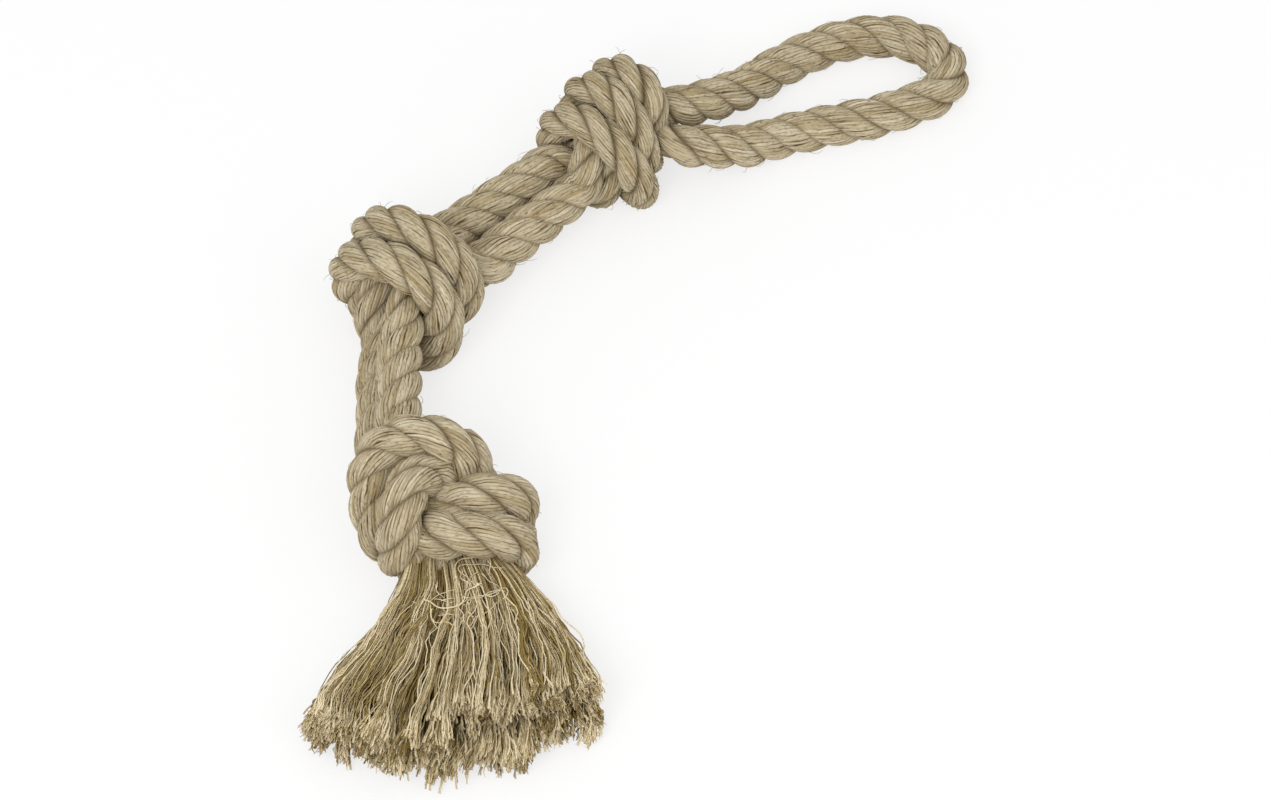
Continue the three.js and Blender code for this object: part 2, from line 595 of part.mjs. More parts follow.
// A lock of yarn: a round root at the rope's end that opens to a wide flat brush
function lock(column, layer) {
  const middle = (2 * column) / 3;
  const rings = [];
  const boxy = (value) => squared(value, LOCK_SQUARENESS);
  const addRing = (along, back, shrink) => {
    const width = fanLeft.getPoint(along).distanceTo(fanRight.getPoint(along));
    const half = (1 / 3 - FAN_GAP / width) * shrink;
    const height = (layer.rootHeight + (layer.tipHeight - layer.rootHeight) * along) * shrink;
    const level = layer.root + (layer.tip - layer.root) * along;
    const ring = [];
    for (let k = 0; k < LOCK_SIDES; k += 1) {
      const angle = (2 * Math.PI * (k + 0.5)) / LOCK_SIDES;
      const place = fanAt(middle + half * boxy(Math.cos(angle)), along * layer.length);
      place.y += back;
      place.z = level + height * boxy(Math.sin(angle));
      ring.push(place);
    }
    rings.push(ring);
  };
  [84, 56, 28].forEach((degrees) => {
    const angle = THREE.MathUtils.degToRad(degrees);
    addRing(0, LOCK_ROOT_RADIUS * Math.sin(angle), Math.cos(angle));
  });
  for (let i = 0; i <= LOCK_STEPS; i += 1) addRing(i / LOCK_STEPS, 0, 1);
  return solidOf(skin(rings));
}

[["lower", LOWER_LOCK], ["upper", UPPER_LOCK]].forEach(([level, layer]) => {
  [["left", -1], ["middle", 0], ["right", 1]].forEach(([place, column]) => {
    addPiece(`tassel_lock_${place}_${level}`, onFloor(lock(column, layer)), TASSEL_COLOUR);
  });
});

const box = new THREE.Box3().setFromObject(toy);
const corner = (point) => point.toArray().map((value) => value.toFixed(2));
console.log(`box from ${corner(box.min)} to ${corner(box.max)}`);

export default toy;
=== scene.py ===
# %% [markdown]
# # A knotted rope dog toy
# One laid rope of natural fibre is doubled at its middle. The bight is the handle, three
# doubled overhand knots follow along the pair, and the two ends are unlaid into a tassel.
# Each solid of the frame is replaced by what it stands for: twisted strands or loose yarn.

import math
from functools import partial

import bpy
import numpy as np
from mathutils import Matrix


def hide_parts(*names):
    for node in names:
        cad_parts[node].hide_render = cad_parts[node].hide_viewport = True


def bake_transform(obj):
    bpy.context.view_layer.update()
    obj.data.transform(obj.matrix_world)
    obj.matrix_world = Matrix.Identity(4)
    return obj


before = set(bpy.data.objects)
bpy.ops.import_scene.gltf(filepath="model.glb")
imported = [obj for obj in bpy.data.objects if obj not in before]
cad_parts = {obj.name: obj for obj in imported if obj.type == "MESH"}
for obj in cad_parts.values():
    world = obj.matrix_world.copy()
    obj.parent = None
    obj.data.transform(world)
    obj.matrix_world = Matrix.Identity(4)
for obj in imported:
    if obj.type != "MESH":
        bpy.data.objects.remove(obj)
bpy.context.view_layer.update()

# %% [markdown]
# ## Sizes
# The layout is in millimetres, as the rope lies on the floor, and one function takes it to the
# frame's metres.

# %% Driving sizes
MM = 0.001
ROPE_RADIUS = 10.0
FLOOR_CUT = 2.0
ORIGIN = np.array([2.5, -0.02, 0.0])
ACROSS = np.array([1.0, 0.0, 0.0])
UP = np.array([0.0, 0.0, 1.0])
FULL_TURN = 2 * np.pi
TINY = 1e-6


def in_frame(points):
    """Layout millimetres as metres of the shared frame."""
    return (np.asarray(points, float) - ORIGIN) * MM


def unit(vector):
    """A vector, or each row of several, at length one."""
    vector = np.asarray(vector, float)
    return vector / np.linalg.norm(vector, axis=-1, keepdims=True)


def smooth_step(value):
    """Zero to one with a soft start and a soft stop."""
    value = np.clip(value, 0.0, 1.0)
    return value * value * (3.0 - 2.0 * value)


def fade(value, start, end):
    """Zero to one, softly, as a value goes from start to end."""
    return smooth_step((value - start) / (end - start))


def eased(values, at):
    """Values read off between their places, with a soft step from each to the next."""
    low = np.minimum(at.astype(int), len(values) - 2)
    return values[low] + (values[low + 1] - values[low]) * smooth_step(at - low)


def read_off(want, along, table):
    """The columns of a table, read off at the places wanted along it."""
    return np.stack([np.interp(want, along, column) for column in table.T], axis=-1)


def in_scene(name, data):
    """A new object in the scene."""
    made = bpy.data.objects.new(name, data)
    bpy.context.scene.collection.objects.link(made)
    return made


# %% [markdown]
# ## The rope's route
# The rope is laid along given points, and a centripetal Catmull-Rom curve joins them without
# overshoot. Every length of rope is such a curve, read off again at even steps.

# %% Smooth curves through points
CURVE_STEPS = 16


def smooth_curve(points, per_span):
    """A Catmull-Rom curve with per_span places in each span."""
    points = np.asarray(points, float)
    padded = np.vstack([2 * points[0] - points[1], points, 2 * points[-1] - points[-2]])
    p0, p1, p2, p3 = padded[:-3], padded[1:-2], padded[2:-1], padded[3:]
    steps = np.linalg.norm(np.diff(padded, axis=0), axis=1)[:, None] ** 0.5
    step0, step1, step2 = steps[:-2], steps[1:-1], steps[2:]
    slope1 = (p1 - p0) / step0 - (p2 - p0) / (step0 + step1) + (p2 - p1) / step1
    slope2 = (p2 - p1) / step1 - (p3 - p1) / (step1 + step2) + (p3 - p2) / step2
    slope1, slope2 = (slope1 * step1)[:, None], (slope2 * step1)[:, None]
    w = (np.arange(per_span) / per_span)[None, :, None]
    curve = (2 * w**3 - 3 * w**2 + 1) * p1[:, None] + (w**3 - 2 * w**2 + w) * slope1
    curve = curve + (3 * w**2 - 2 * w**3) * p2[:, None] + (w**3 - w**2) * slope2
    return np.vstack([curve.reshape(-1, points.shape[1]), points[-1]])


def length_along(points):
    """Distance along a line of points, from its start."""
    steps = np.linalg.norm(np.diff(points, axis=0), axis=1)
    return np.concatenate([[0.0], np.cumsum(steps)])


def even_route(points, radii, count):
    """A smooth curve at count even places, with a radius carried along."""
    fine = smooth_curve(points, CURVE_STEPS)
    radius = eased(np.asarray(radii, float), np.arange(len(fine)) / CURVE_STEPS)
    along = length_along(fine)
    want = np.linspace(0.0, along[-1], count)
    return read_off(want, along, fine), np.interp(want, along, radius)


# %% [markdown]
# The pair of ropes lies one over the other below the middle knot, side by side above it, and
# opens into the handle loop beyond the last knot.

# %% Lower pair, upper pair and handle
LOWER_HEIGHT = 21.0
LOWER_X = -111.5
LOWER_STACK = unit([0.45, 0.0, 0.89])
UPPER_FROM = np.array([-103.5, 45.5, 21.0])
UPPER_ALONG = unit([0.724, 0.69, 0.0])
UPPER_SIDE = np.array([-UPPER_ALONG[1], UPPER_ALONG[0], 0.0])
UPPER_SPREAD = 1.6
UPPER_LENGTH = 60.0
UPPER_CLOSED_AT = 94.0
LOOP_HEIGHT = ROPE_RADIUS - FLOOR_CUT
TASSEL_X = -79.0
TASSEL_HEIGHT = 13.0


def lower_at(y):
    """A place in the middle of the lower pair."""
    return np.array([LOWER_X, y, LOWER_HEIGHT])


def upper_at(distance):
    """A place in the middle of the upper pair."""
    return UPPER_FROM + UPPER_ALONG * distance


def upper_rope(distance, side):
    """A place on one rope of the upper pair."""
    spread = UPPER_SPREAD * np.clip((UPPER_CLOSED_AT - distance) / UPPER_LENGTH, 0.0, 1.0)
    return upper_at(distance) + UPPER_SIDE * side * (ROPE_RADIUS + spread)


def beside(point, across, side):
    """A place one rope radius to the side."""
    return np.asarray(point, float) + across * side * ROPE_RADIUS


LEG_OUT = [(26, 155.4, 22), (38, 163.6, 17.5), (50, 173, 12.5), (64, 186.8, 8.6)]
LEG_BACK = [(64, 146.2, 8.6), (50, 138.5, 12.5), (38, 134, 17.5), (26, 131, 22)]
BIGHT = [
    (76, 195.6), (88, 201.8), (100, 206), (112, 207.8), (124, 206.4), (134.5, 201.6), (142.2, 194),
    (145, 185), (142.3, 176.6), (134.5, 170), (123, 164.4), (111, 159.8), (98, 156.2), (86, 153.4),
    (76, 150.6),
]
HANDLE_ROUTE = np.array(LEG_OUT + [(x, y, LOOP_HEIGHT) for x, y in BIGHT] + LEG_BACK, float)
print("handle loop route:", len(HANDLE_ROUTE), "points")

# %% [markdown]
# ## Tying the knots
# In an overhand knot the rope comes in through the core, turns back over one end, wraps round
# the core and dives in at the other end; two ropes make it a doubled knot. A rope simulation is
# hard to steer, so the turns are drawn round each knot's axis and then settled.

# %% How a knot's passes run
WRAP_ROPE = 0.95 * ROPE_RADIUS
WRAP_POINTS = 12
EXTRA_DEGREES = 25.0
CORE_OFFSET = 0.8 * ROPE_RADIUS
CORE_ROPE = 0.5 * ROPE_RADIUS
CORE_SPREAD = 45.0
CORE_NEAR = ROPE_RADIUS
CORE_NEAR_LEAD = 115.0
CORE_FAR = 0.8 * ROPE_RADIUS
CORE_FAR_LEAD = 90.0
TURN_NEST = 0.5 * ROPE_RADIUS
TURN_OFFSET = 1.6 * ROPE_RADIUS
TURN_ROPE = 0.75 * ROPE_RADIUS
TURN_LEAD = 34.0
LEAD_POINTS = 3
KNOT_TILT = math.radians(52.0)
KNOT_POINTS = 58
KNOT_GAP = 0.6


def floor_heading(degrees):
    """A direction along the floor."""
    return np.array([math.cos(math.radians(degrees)), math.sin(math.radians(degrees)), 0.0])


def knot_centre(knot):
    """The middle of a knot, lying with its wraps on the floor."""
    return np.array([knot["x"], knot["y"], knot["wrap"] + WRAP_ROPE - FLOOR_CUT])


def laid_routes(knot):
    """The two passes of a knot that is laid along listed points."""
    routes = []
    for side, laid in zip((1, -1), knot["laid"]):
        before = [(*point, ROPE_RADIUS) for point in knot["lead_in"](side)]
        after = [(*point, ROPE_RADIUS) for point in knot["lead_out"](side)]
        points = np.array(before + laid + after, float)
        routes.append(even_route(points[:, :3], points[:, 3], KNOT_POINTS))
    return routes


def wrapped_routes(knot):
    """The two passes of a doubled overhand knot round its bent axis."""
    centre = knot_centre(knot)
    lift = np.array([0.0, math.sin(KNOT_TILT), math.cos(KNOT_TILT)])

    def at(along, offset, degrees):
        """A place so far along the axis, so far from it and so far round it."""
        axis = floor_heading(knot["heading"] + knot["bend"] * along)
        first = unit(lift - axis * (lift @ axis))
        second = np.cross(axis, first)
        on_axis = centre + along * floor_heading(knot["heading"] + knot["bend"] * along / 2)
        angle = math.radians(degrees)
        return on_axis + offset * (first * math.cos(angle) + second * math.sin(angle))

    hand, reach = knot["hand"], knot["reach"]
    last = knot["start"] + hand * knot["sweep"]
    spacing = 2 * knot["rope"] + KNOT_GAP
    routes = []
    for side, extra in zip((1, -1), knot["extra"]):
        start = knot["start"] - hand * extra
        turns = np.linspace(start, last, WRAP_POINTS + 1 + int(extra / EXTRA_DEGREES))
        share = (turns - knot["start"]) / (last - knot["start"])
        along = side * spacing / 2 + knot["lean"] * (0.5 - share)
        inner = side * CORE_SPREAD
        outer = side * knot["core_out"] * CORE_SPREAD
        before = [
            (-CORE_NEAR, CORE_OFFSET, start - hand * CORE_NEAR_LEAD + inner),
            (CORE_FAR, CORE_OFFSET, start - hand * CORE_FAR_LEAD + inner),
            (max(reach + TURN_NEST * side, along[0]), TURN_OFFSET, start - hand * TURN_LEAD),
        ]
        wraps = [(a, knot["wrap"], t) for a, t in zip(along, turns)]
        after = [
            (TURN_NEST * side - reach, TURN_OFFSET, last + hand * TURN_LEAD),
            (-CORE_FAR, CORE_OFFSET, last + hand * CORE_FAR_LEAD + outer),
            (CORE_NEAR, CORE_OFFSET, last + hand * CORE_NEAR_LEAD + outer),
        ]
        points = [at(*place) for place in before + wraps + after]
        points = knot["lead_in"](side) + points + knot["lead_out"](side)
        lead = [ROPE_RADIUS] * LEAD_POINTS + [CORE_ROPE] * 2 + [TURN_ROPE]
        radii = lead + [knot["rope"]] * len(turns) + lead[::-1]
        routes.append(even_route(points, radii, KNOT_POINTS))
    return routes


# %% [markdown]
# Passes that press are pushed apart a little at a time, and each rope's shift is smoothed along
# it, because a stiff rope can't kink. Where there is still too little room, it gets thinner.

# %% Settling a knot
KNOT_ROUNDS = 80
KNOT_PINNED = 6
SAME_PASS_REACH = 1.7
PUSH_SHARE = 0.9
SMOOTHINGS = 2
BEND_SPAN = 2
BEND_LIMIT = 0.85
SQUEEZE_ROUNDS = 6


def settle(routes):
    """The passes pushed apart, with the radius each may have, and the least gap left."""
    count = KNOT_POINTS
    base = np.vstack([places for places, _ in routes])
    full = np.concatenate([radius for _, radius in routes])
    rope = np.repeat([0, 1], count)
    number = np.tile(np.arange(count), 2)
    step = np.array([np.linalg.norm(places[1] - places[0]) for places, _ in routes])[rope]
    need = np.add.outer(full, full) + KNOT_GAP
    run = np.abs(np.subtract.outer(number, number)) * step[:, None]
    same_pass = np.equal.outer(rope, rope) & (run < SAME_PASS_REACH * need)
    need = np.where(same_pass, 0.0, need)
    place = base.copy()
    free = (number >= KNOT_PINNED) & (number <= count - 1 - KNOT_PINNED)
    for _ in range(KNOT_ROUNDS):
        apart = place[:, None] - place[None, :]
        distance = np.maximum(np.linalg.norm(apart, axis=2), TINY)
        touching = distance < need
        push = (apart * (touching * (need - distance) / 2 / distance)[:, :, None]).sum(axis=1)
        touches = np.maximum(touching.sum(axis=1), 1)
        shift = place - base + push * (PUSH_SHARE / np.sqrt(touches))[:, None]
        for _ in range(SMOOTHINGS):
            beside_it = np.roll(shift, 1, axis=0) + np.roll(shift, -1, axis=0)
            shift = np.where(free[:, None], 0.5 * shift + 0.25 * beside_it, 0.0)
        place = base + shift
    radius = full.copy()
    for i in np.flatnonzero((number >= BEND_SPAN) & (number <= count - 1 - BEND_SPAN)):
        before, after = place[i] - place[i - BEND_SPAN], place[i + BEND_SPAN] - place[i]
        turn = math.acos(np.clip(unit(before) @ unit(after), -1.0, 1.0))
        bend = (np.linalg.norm(before) + np.linalg.norm(after)) / 2 / max(turn, TINY)
        radius[i] = min(radius[i], BEND_LIMIT * bend)
    distance = np.linalg.norm(place[:, None] - place[None, :], axis=2)
    distance = np.where(same_pass, np.inf, distance)
    for _ in range(SQUEEZE_ROUNDS):
        room = (distance - KNOT_GAP) / np.add.outer(radius, radius)
        radius = radius * np.minimum(room.min(axis=1), 1.0)
    gap = (distance - np.add.outer(radius, radius)).min()
    return [(place[:count], radius[:count]), (place[count:], radius[count:])], gap


# %% [markdown]
# Two knots are wrapped, each with its own place, heading and sweep. The end knot lies more open,
# so its passes are listed as x, y, z and radius.

# %% The three knots
END_KNOT_PASSES = [
    [
        (-102, -64, 27, 7.5), (-99, -76, 23, 5.5), (-90, -83.5, 31, 7.5), (-79, -82.5, 37.5, 9.2),
        (-66, -82.5, 39, 9.4), (-57, -81, 34, 9.4), (-55, -79, 23, 8.8), (-58, -81, 11, 7),
        (-68, -85, 7, 6.5), (-86, -87, 7, 6.5), (-97, -89, 8, 7.5), (-105.5, -90.5, 12, 8),
        (-111.5, -83.5, 19, 8.8), (-115, -75.5, 27, 9.2), (-115.5, -70, 35, 9.2),
        (-111, -66.5, 42, 9.2), (-103, -67, 46, 9.2), (-95, -69, 47, 9.2), (-87, -71.5, 43, 9.2),
        (-81.5, -72.5, 34, 8.2), (-78, -73.5, 24, 6), (-71.5, -80, 20, 5.5), (-67.5, -94, 20, 6),
    ],
    [
        (-110, -64, 13, 7.5), (-105, -80, 15, 5.5), (-97, -92, 23, 6), (-86, -101, 32, 8.5),
        (-74, -103.5, 34.5, 9.2), (-62, -103, 31, 9.2), (-58.5, -100.5, 20, 8.8),
        (-62, -99.5, 9.5, 7), (-72, -100, 7, 6.5), (-87, -99.5, 7.5, 6.5), (-94, -101, 14, 8),
        (-97.5, -102.5, 27, 8.8), (-98.5, -101.5, 39, 9.2), (-98, -96.5, 47, 9.2),
        (-95, -89, 50, 9.2), (-90, -81.5, 45, 9.2), (-85.5, -77, 35, 8), (-82, -77, 25, 5.5),
        (-80, -85, 19.5, 5.5), (-81, -96, 20, 6),
    ],
]
KNOTS = {
    "handle": dict(
        x=-8, y=139, heading=51, bend=-1.0, wrap=19, reach=14, rope=7.4, lean=15,
        hand=-1, start=196, sweep=342, extra=(0, 280), core_out=1,
        lead_in=lambda side: [upper_rope(d, -side) for d in (74, 88, 97)],
        lead_out=lambda side: (
            [(18, 151.5, 25.5), HANDLE_ROUTE[0], HANDLE_ROUTE[1]]
            if side < 0
            else [(18, 130, 25.5), HANDLE_ROUTE[-1], HANDLE_ROUTE[-2]]
        ),
    ),
    "middle": dict(
        x=-104.5, y=47.6, heading=65, bend=0, wrap=22.6, reach=18, rope=9.5, lean=12,
        hand=1, start=234, sweep=290, extra=(0, 0), core_out=-1,
        lead_in=lambda side: [
            beside(p, LOWER_STACK, -side) for p in (lower_at(-7), lower_at(7), (-110, 16, 22.5))
        ],
        lead_out=lambda side: [upper_rope(d, side) for d in (34, 42, 56)],
    ),
    "end": dict(
        x=-90.5, y=-86.4, wrap=22, laid=END_KNOT_PASSES,
        lead_in=lambda side: [
            beside(p, LOWER_STACK, side) for p in (lower_at(-24), lower_at(-40), (-109, -50, 22.5))
        ],
        lead_out=lambda side: [
            beside((TASSEL_X, y, z), ACROSS, side)
            for y, z in ((-115, 14), (-120, 13.3), (-130, TASSEL_HEIGHT))
        ],
    ),
}
tied = {}
for knot_name, knot in KNOTS.items():
    knot_routes = laid_routes(knot) if "laid" in knot else wrapped_routes(knot)
    tied[knot_name], least_gap = settle(knot_routes)
    print(f"{knot_name} knot: least gap {least_gap:.2f} mm")

# %% [markdown]
# ## One rope from end to end
# The passes and the loop are joined into one line, because the toy is one rope: its twist runs
# on unbroken from the tassel through every knot, round the handle and back.

# %% Join the route
FINE_STEPS = 10
ROUTE_STEP = 1.6


def backwards(route):
    """A pass run the other way."""
    return route[0][::-1], route[1][::-1]


loop = HANDLE_ROUTE[2:-2]
segments = [
    ("end_a", backwards(tied["end"][1])),
    ("middle_a", tied["middle"][0]),
    ("handle_a", tied["handle"][1]),
    ("loop", (loop, np.full(len(loop), ROPE_RADIUS))),
    ("handle_b", backwards(tied["handle"][0])),
    ("middle_b", backwards(tied["middle"][1])),
    ("end_b", tied["end"][0]),
]
line = np.vstack([np.column_stack(run) for _, run in segments])
line_segment = np.concatenate([[name] * len(places) for name, (places, _) in segments])
fine_line = smooth_curve(line, FINE_STEPS)
fine_along = length_along(fine_line[:, :3])
route_along = np.arange(0.0, fine_along[-1], ROUTE_STEP)
route = read_off(route_along, fine_along, fine_line)
route_centre, solid_radius = route[:, :3], route[:, 3]
line_place = np.searchsorted(fine_along[::FINE_STEPS], route_along, side="right") - 1
route_segment = line_segment[np.clip(line_place, 0, len(line) - 1)]
from_an_end = np.minimum(route_along, route_along[-1] - route_along)
print(f"rope: {fine_along[-1] / 1000:.2f} m in {len(route)} steps")

# %% [markdown]
# Squeezed rope is drawn fuller than the solids, most of all deep in the end knot, so that no
# daylight shows. The ropes of the upper pair touch, and the ends taper away under the tassel.

# %% How thick the rope is drawn
LEAST_RADIUS = 8.2
SWELL = 0.9
SWELL_Y = (20.0, 0.0)
END_TAPER = 0.35
END_LENGTH = 45.0
PAIR_MIDDLE = 62.0
PAIR_HALF = 34.0
INNER_RADIUS = 12.0
INNER_SOLID_RADII = (8.9, 8.4)
INNER_HEIGHTS = (15.0, 21.0)
INNER_FROM_END = 60.0
route_radius = np.clip((ROPE_RADIUS + solid_radius) / 2, LEAST_RADIUS, ROPE_RADIUS)
route_radius += SWELL * fade(route_centre[:, 1], *SWELL_Y)
route_radius *= END_TAPER + (1 - END_TAPER) * fade(from_an_end, 0.0, END_LENGTH)
up_the_pair = (route_centre - UPPER_FROM) @ UPPER_ALONG
beside_pair = np.abs((route_centre - UPPER_FROM) @ UPPER_SIDE)
in_pair = (np.abs(up_the_pair - PAIR_MIDDLE) < PAIR_HALF) & (beside_pair < 2 * ROPE_RADIUS)
route_radius += np.where(in_pair, beside_pair - ROPE_RADIUS, 0.0).clip(0.0, UPPER_SPREAD)
hidden = fade(solid_radius, *INNER_SOLID_RADII) * fade(route_centre[:, 2], *INNER_HEIGHTS)
hidden = hidden * np.char.startswith(route_segment, "end") * (from_an_end > INNER_FROM_END)
route_radius = np.maximum(route_radius, INNER_RADIUS * hidden)
print(f"drawn radius: {route_radius.min():.1f} to {route_radius.max():.1f} mm")

# %% [markdown]
# A frame that turns as little as possible is carried along the route. Measured against it, the
# three strands turn evenly, as a rope walk lays them.

# %% Carry a frame along the rope
route_ahead = unit(np.gradient(route_centre, axis=0))
route_side = np.zeros_like(route_centre)
side = unit(np.cross(UP, route_ahead[0]))
for i, ahead in enumerate(route_ahead):
    side = unit(side - ahead * (side @ ahead))
    route_side[i] = side
route_rise = np.cross(route_ahead, route_side)
print("frame carried over", len(route_side), "places")

# %% [markdown]
# ## Strands and yarns
# The rope is laid right-handed from three strands, and each strand is twisted the other way, so
# that the yarns on its crown run along the rope. A column of the mesh's corners stays on its
# yarn, so that few steps give clean, unbroken ridges.

# %% Build the strand surfaces
STRANDS = 3
LAY_LENGTH = 46.0
STRAND_ORBIT = 0.525
STRAND_DEEP = 0.475
STRAND_WIDE = 0.55
STRAND_WANDER = 0.05
WANDER_STEPS = 18
STRAND_UNEVEN = 0.025
UNEVEN_STEPS = 12
YARNS = 18
YARN_CORNERS = 3
CORNERS = YARNS * YARN_CORNERS
YARN_HEIGHT = 0.2
YARN_UNEVEN = 0.35
GROOVE_LOW = -1.0
RIDGE_HIGH = 0.5
LOWEST = 0.3
random = np.random.default_rng(20)


def slow_noise(count, every, rng):
    """Smooth random values about zero, one new value each so many steps."""
    return eased(rng.normal(size=count // every + 4), np.arange(count) / every)


yarn_twist = FULL_TURN * route_along / (LAY_LENGTH * STRAND_WIDE)
corner = np.arange(CORNERS)
ridge = np.where(corner % YARN_CORNERS == 0, GROOVE_LOW, RIDGE_HIGH)
slope = np.arctan(FULL_TURN * STRAND_ORBIT * route_radius / LAY_LENGTH)[:, None]
angle = FULL_TURN * corner[None, :] / CORNERS - yarn_twist[:, None]
strands = []
for number in range(STRANDS):
    wander = STRAND_WANDER * slow_noise(len(route), WANDER_STEPS, random)
    turn = FULL_TURN * (route_along / LAY_LENGTH + number / STRANDS) + wander
    out = route_side * np.cos(turn)[:, None] + route_rise * np.sin(turn)[:, None]
    round_it = np.cross(route_ahead, out)
    across = round_it * np.cos(slope) - route_ahead * np.sin(slope)
    yarn_size = 1 + YARN_UNEVEN * random.normal(size=YARNS)[corner // YARN_CORNERS]
    swell = 1 + STRAND_UNEVEN * slow_noise(len(route), UNEVEN_STEPS, random)[:, None]
    deep = STRAND_DEEP * route_radius[:, None] * swell + YARN_HEIGHT * ridge * yarn_size
    wide = STRAND_WIDE * route_radius[:, None] * swell + YARN_HEIGHT * ridge * yarn_size
    centre = route_centre + out * (STRAND_ORBIT * route_radius)[:, None]
    surface = centre[:, None] + out[:, None] * (deep * np.cos(angle))[:, :, None]
    surface = surface + across[:, None] * (wide * np.sin(angle))[:, :, None]
    surface[..., 2] = np.maximum(surface[..., 2], LOWEST)
    # The cosine round the strand sets its painted light: grooves between strands get painted shade.
    strands.append((surface, np.cos(angle)))
print(f"{len(strands)} strands, {CORNERS} corners round each")

# %% [markdown]
# ## Finishes
# Undyed fibre is matte and never one colour: each yarn has its own tone, and the grooves get
# painted shade. Both finishes share one group that makes these patterns from coordinates that
# the meshes carry.

# %% Short ways to make shader nodes
MIX_FIRST = 6
MIX_SECOND = 7
MIX_RESULT = 2


def add_node(tree, kind, inputs, **settings):
    """The outputs of a new node, whose inputs are other sockets or values."""
    node = tree.nodes.new(f"ShaderNode{kind}")
    for name, value in settings.items():
        setattr(node, name, value)
    for socket, value in inputs.items():
        if isinstance(value, bpy.types.NodeSocket):
            tree.links.new(value, node.inputs[socket])
        else:
            node.inputs[socket].default_value = value
    return node.outputs


def math_node(tree, operation, *values):
    """The result of a math node."""
    return add_node(tree, "Math", dict(enumerate(values)), operation=operation)[0]


def noise_node(tree, across, along, detail):
    """Noise over two coordinates, from 0 to 1."""
    place = add_node(tree, "CombineXYZ", {0: across, 1: along})[0]
    return add_node(tree, "TexNoise", {"Vector": place, "Scale": 1.0, "Detail": detail})["Fac"]


def range_node(tree, value, low, high, kind="LINEAR"):
    """A value taken from between two limits to between 0 and 1."""
    inputs = {"Value": value, "From Min": low, "From Max": high}
    return add_node(tree, "MapRange", inputs, interpolation_type=kind)[0]


def mix_node(tree, factor, first, second):
    """A mix of two colours."""
    inputs = {"Factor": factor, MIX_FIRST: first, MIX_SECOND: second}
    return add_node(tree, "Mix", inputs, data_type="RGBA")[MIX_RESULT]


# %% [markdown]
# In the group, the lines between yarns are painted shade that strays a little and fades in places.
# Fine fibres run along each yarn, longer patches are lighter or warmer, and all that lies deep
# gets painted shade.

# %% A group for the look of spun yarn
STRAY_ALONG = 0.16
STRAY_SIZE = 1.3
GROOVE_RANGE = (0.2, 0.5)
GROOVE_FADE_RANGE = (0.36, 0.64)
FIBRES_ACROSS = 5.0
FIBRES_ALONG = 0.6
FIBRE_HEIGHT = 0.7
HAIR_RANGE = (0.53, 0.66)
HAIR_DEPTH = 0.8
PATCH_SPACING = 40.0
LIGHT_MIDDLE = 1.5
LIGHT_RANGE = (-0.5, 0.5)
WARM_OFFSET = 90.0
WARM_RANGE = (0.5, 0.75)
# The painted light level over which painted shade grows from none to full.
DEEP_RANGE = (0.75, -0.1)


def spun_yarn_group():
    """Colour with painted shade, and height, of spun yarn, from the attributes of its mesh."""
    tree = bpy.data.node_groups.new("spun_yarn", "ShaderNodeTree")
    calc, noise = partial(math_node, tree), partial(noise_node, tree)
    times, minus = partial(calc, "MULTIPLY"), partial(calc, "SUBTRACT")
    ranged, mixed = partial(range_node, tree), partial(mix_node, tree)
    for name in ("Dark", "Middle", "Light", "Warm"):
        tree.interface.new_socket(name, in_out="INPUT", socket_type="NodeSocketColor")
    for name in ("Groove Depth", "Shade", "Variation", "Fibre Length"):
        tree.interface.new_socket(name, in_out="INPUT", socket_type="NodeSocketFloat")
    tree.interface.new_socket("Color", in_out="OUTPUT", socket_type="NodeSocketColor")
    tree.interface.new_socket("Height", in_out="OUTPUT", socket_type="NodeSocketFloat")
    given = tree.nodes.new("NodeGroupInput").outputs
    result = tree.nodes.new("NodeGroupOutput").inputs
    yarn = add_node(tree, "Attribute", {}, attribute_name="yarn")["Vector"]
    tone = add_node(tree, "Attribute", {}, attribute_name="tone")["Fac"]
    number, along, painted_light_level = add_node(tree, "SeparateXYZ", {0: yarn})
    far_along = calc("DIVIDE", along, given["Fibre Length"])

    stray = minus(noise(number, times(along, STRAY_ALONG), 1.0), 0.5)
    strayed = calc("ADD", number, times(stray, STRAY_SIZE))
    edge = calc("ABSOLUTE", minus(calc("FRACT", strayed), 0.5))
    # The lines between yarns are painted shade.
    groove = ranged(edge, *GROOVE_RANGE, "SMOOTHSTEP")
    groove = times(groove, ranged(noise(number, far_along, 2.0), *GROOVE_FADE_RANGE))

    fibre = noise(times(number, FIBRES_ACROSS), times(along, FIBRES_ALONG), 3.0)
    patch_at = times(tone, PATCH_SPACING)
    lightness = calc("ADD", tone, noise(patch_at, far_along, 2.0))
    lightness = calc("ADD", lightness, minus(fibre, LIGHT_MIDDLE))
    lightness = ranged(times(lightness, given["Variation"]), *LIGHT_RANGE)
    warmth = ranged(noise(calc("ADD", patch_at, WARM_OFFSET), far_along, 1.0), *WARM_RANGE)
    base = mixed(lightness, mixed(warmth, given["Middle"], given["Warm"]), given["Light"])

    # Painted shade where the painted light level is low, mixed toward the dark colour.
    shaded = times(ranged(painted_light_level, *DEEP_RANGE, "SMOOTHSTEP"), given["Shade"])
    hairs = times(ranged(fibre, *HAIR_RANGE), HAIR_DEPTH)
    lines = times(calc("MAXIMUM", groove, hairs), given["Groove Depth"])
    colour = mixed(calc("MAXIMUM", shaded, lines), base, given["Dark"])
    tree.links.new(colour, result["Color"])
    tree.links.new(minus(times(fibre, FIBRE_HEIGHT), groove), result["Height"])
    return tree


spun_yarn = spun_yarn_group()
print("spun yarn group:", len(spun_yarn.nodes), "nodes")

# %% [markdown]
# The rope's finish has dark lines of painted shade and a pale, greyish crown.

# %% Finish of the rope
MATTE_FIBRE = {
    "Roughness": 0.92,
    "Specular IOR Level": 0.15,
    "Sheen Weight": 0.04,
    "Sheen Roughness": 0.6,
}


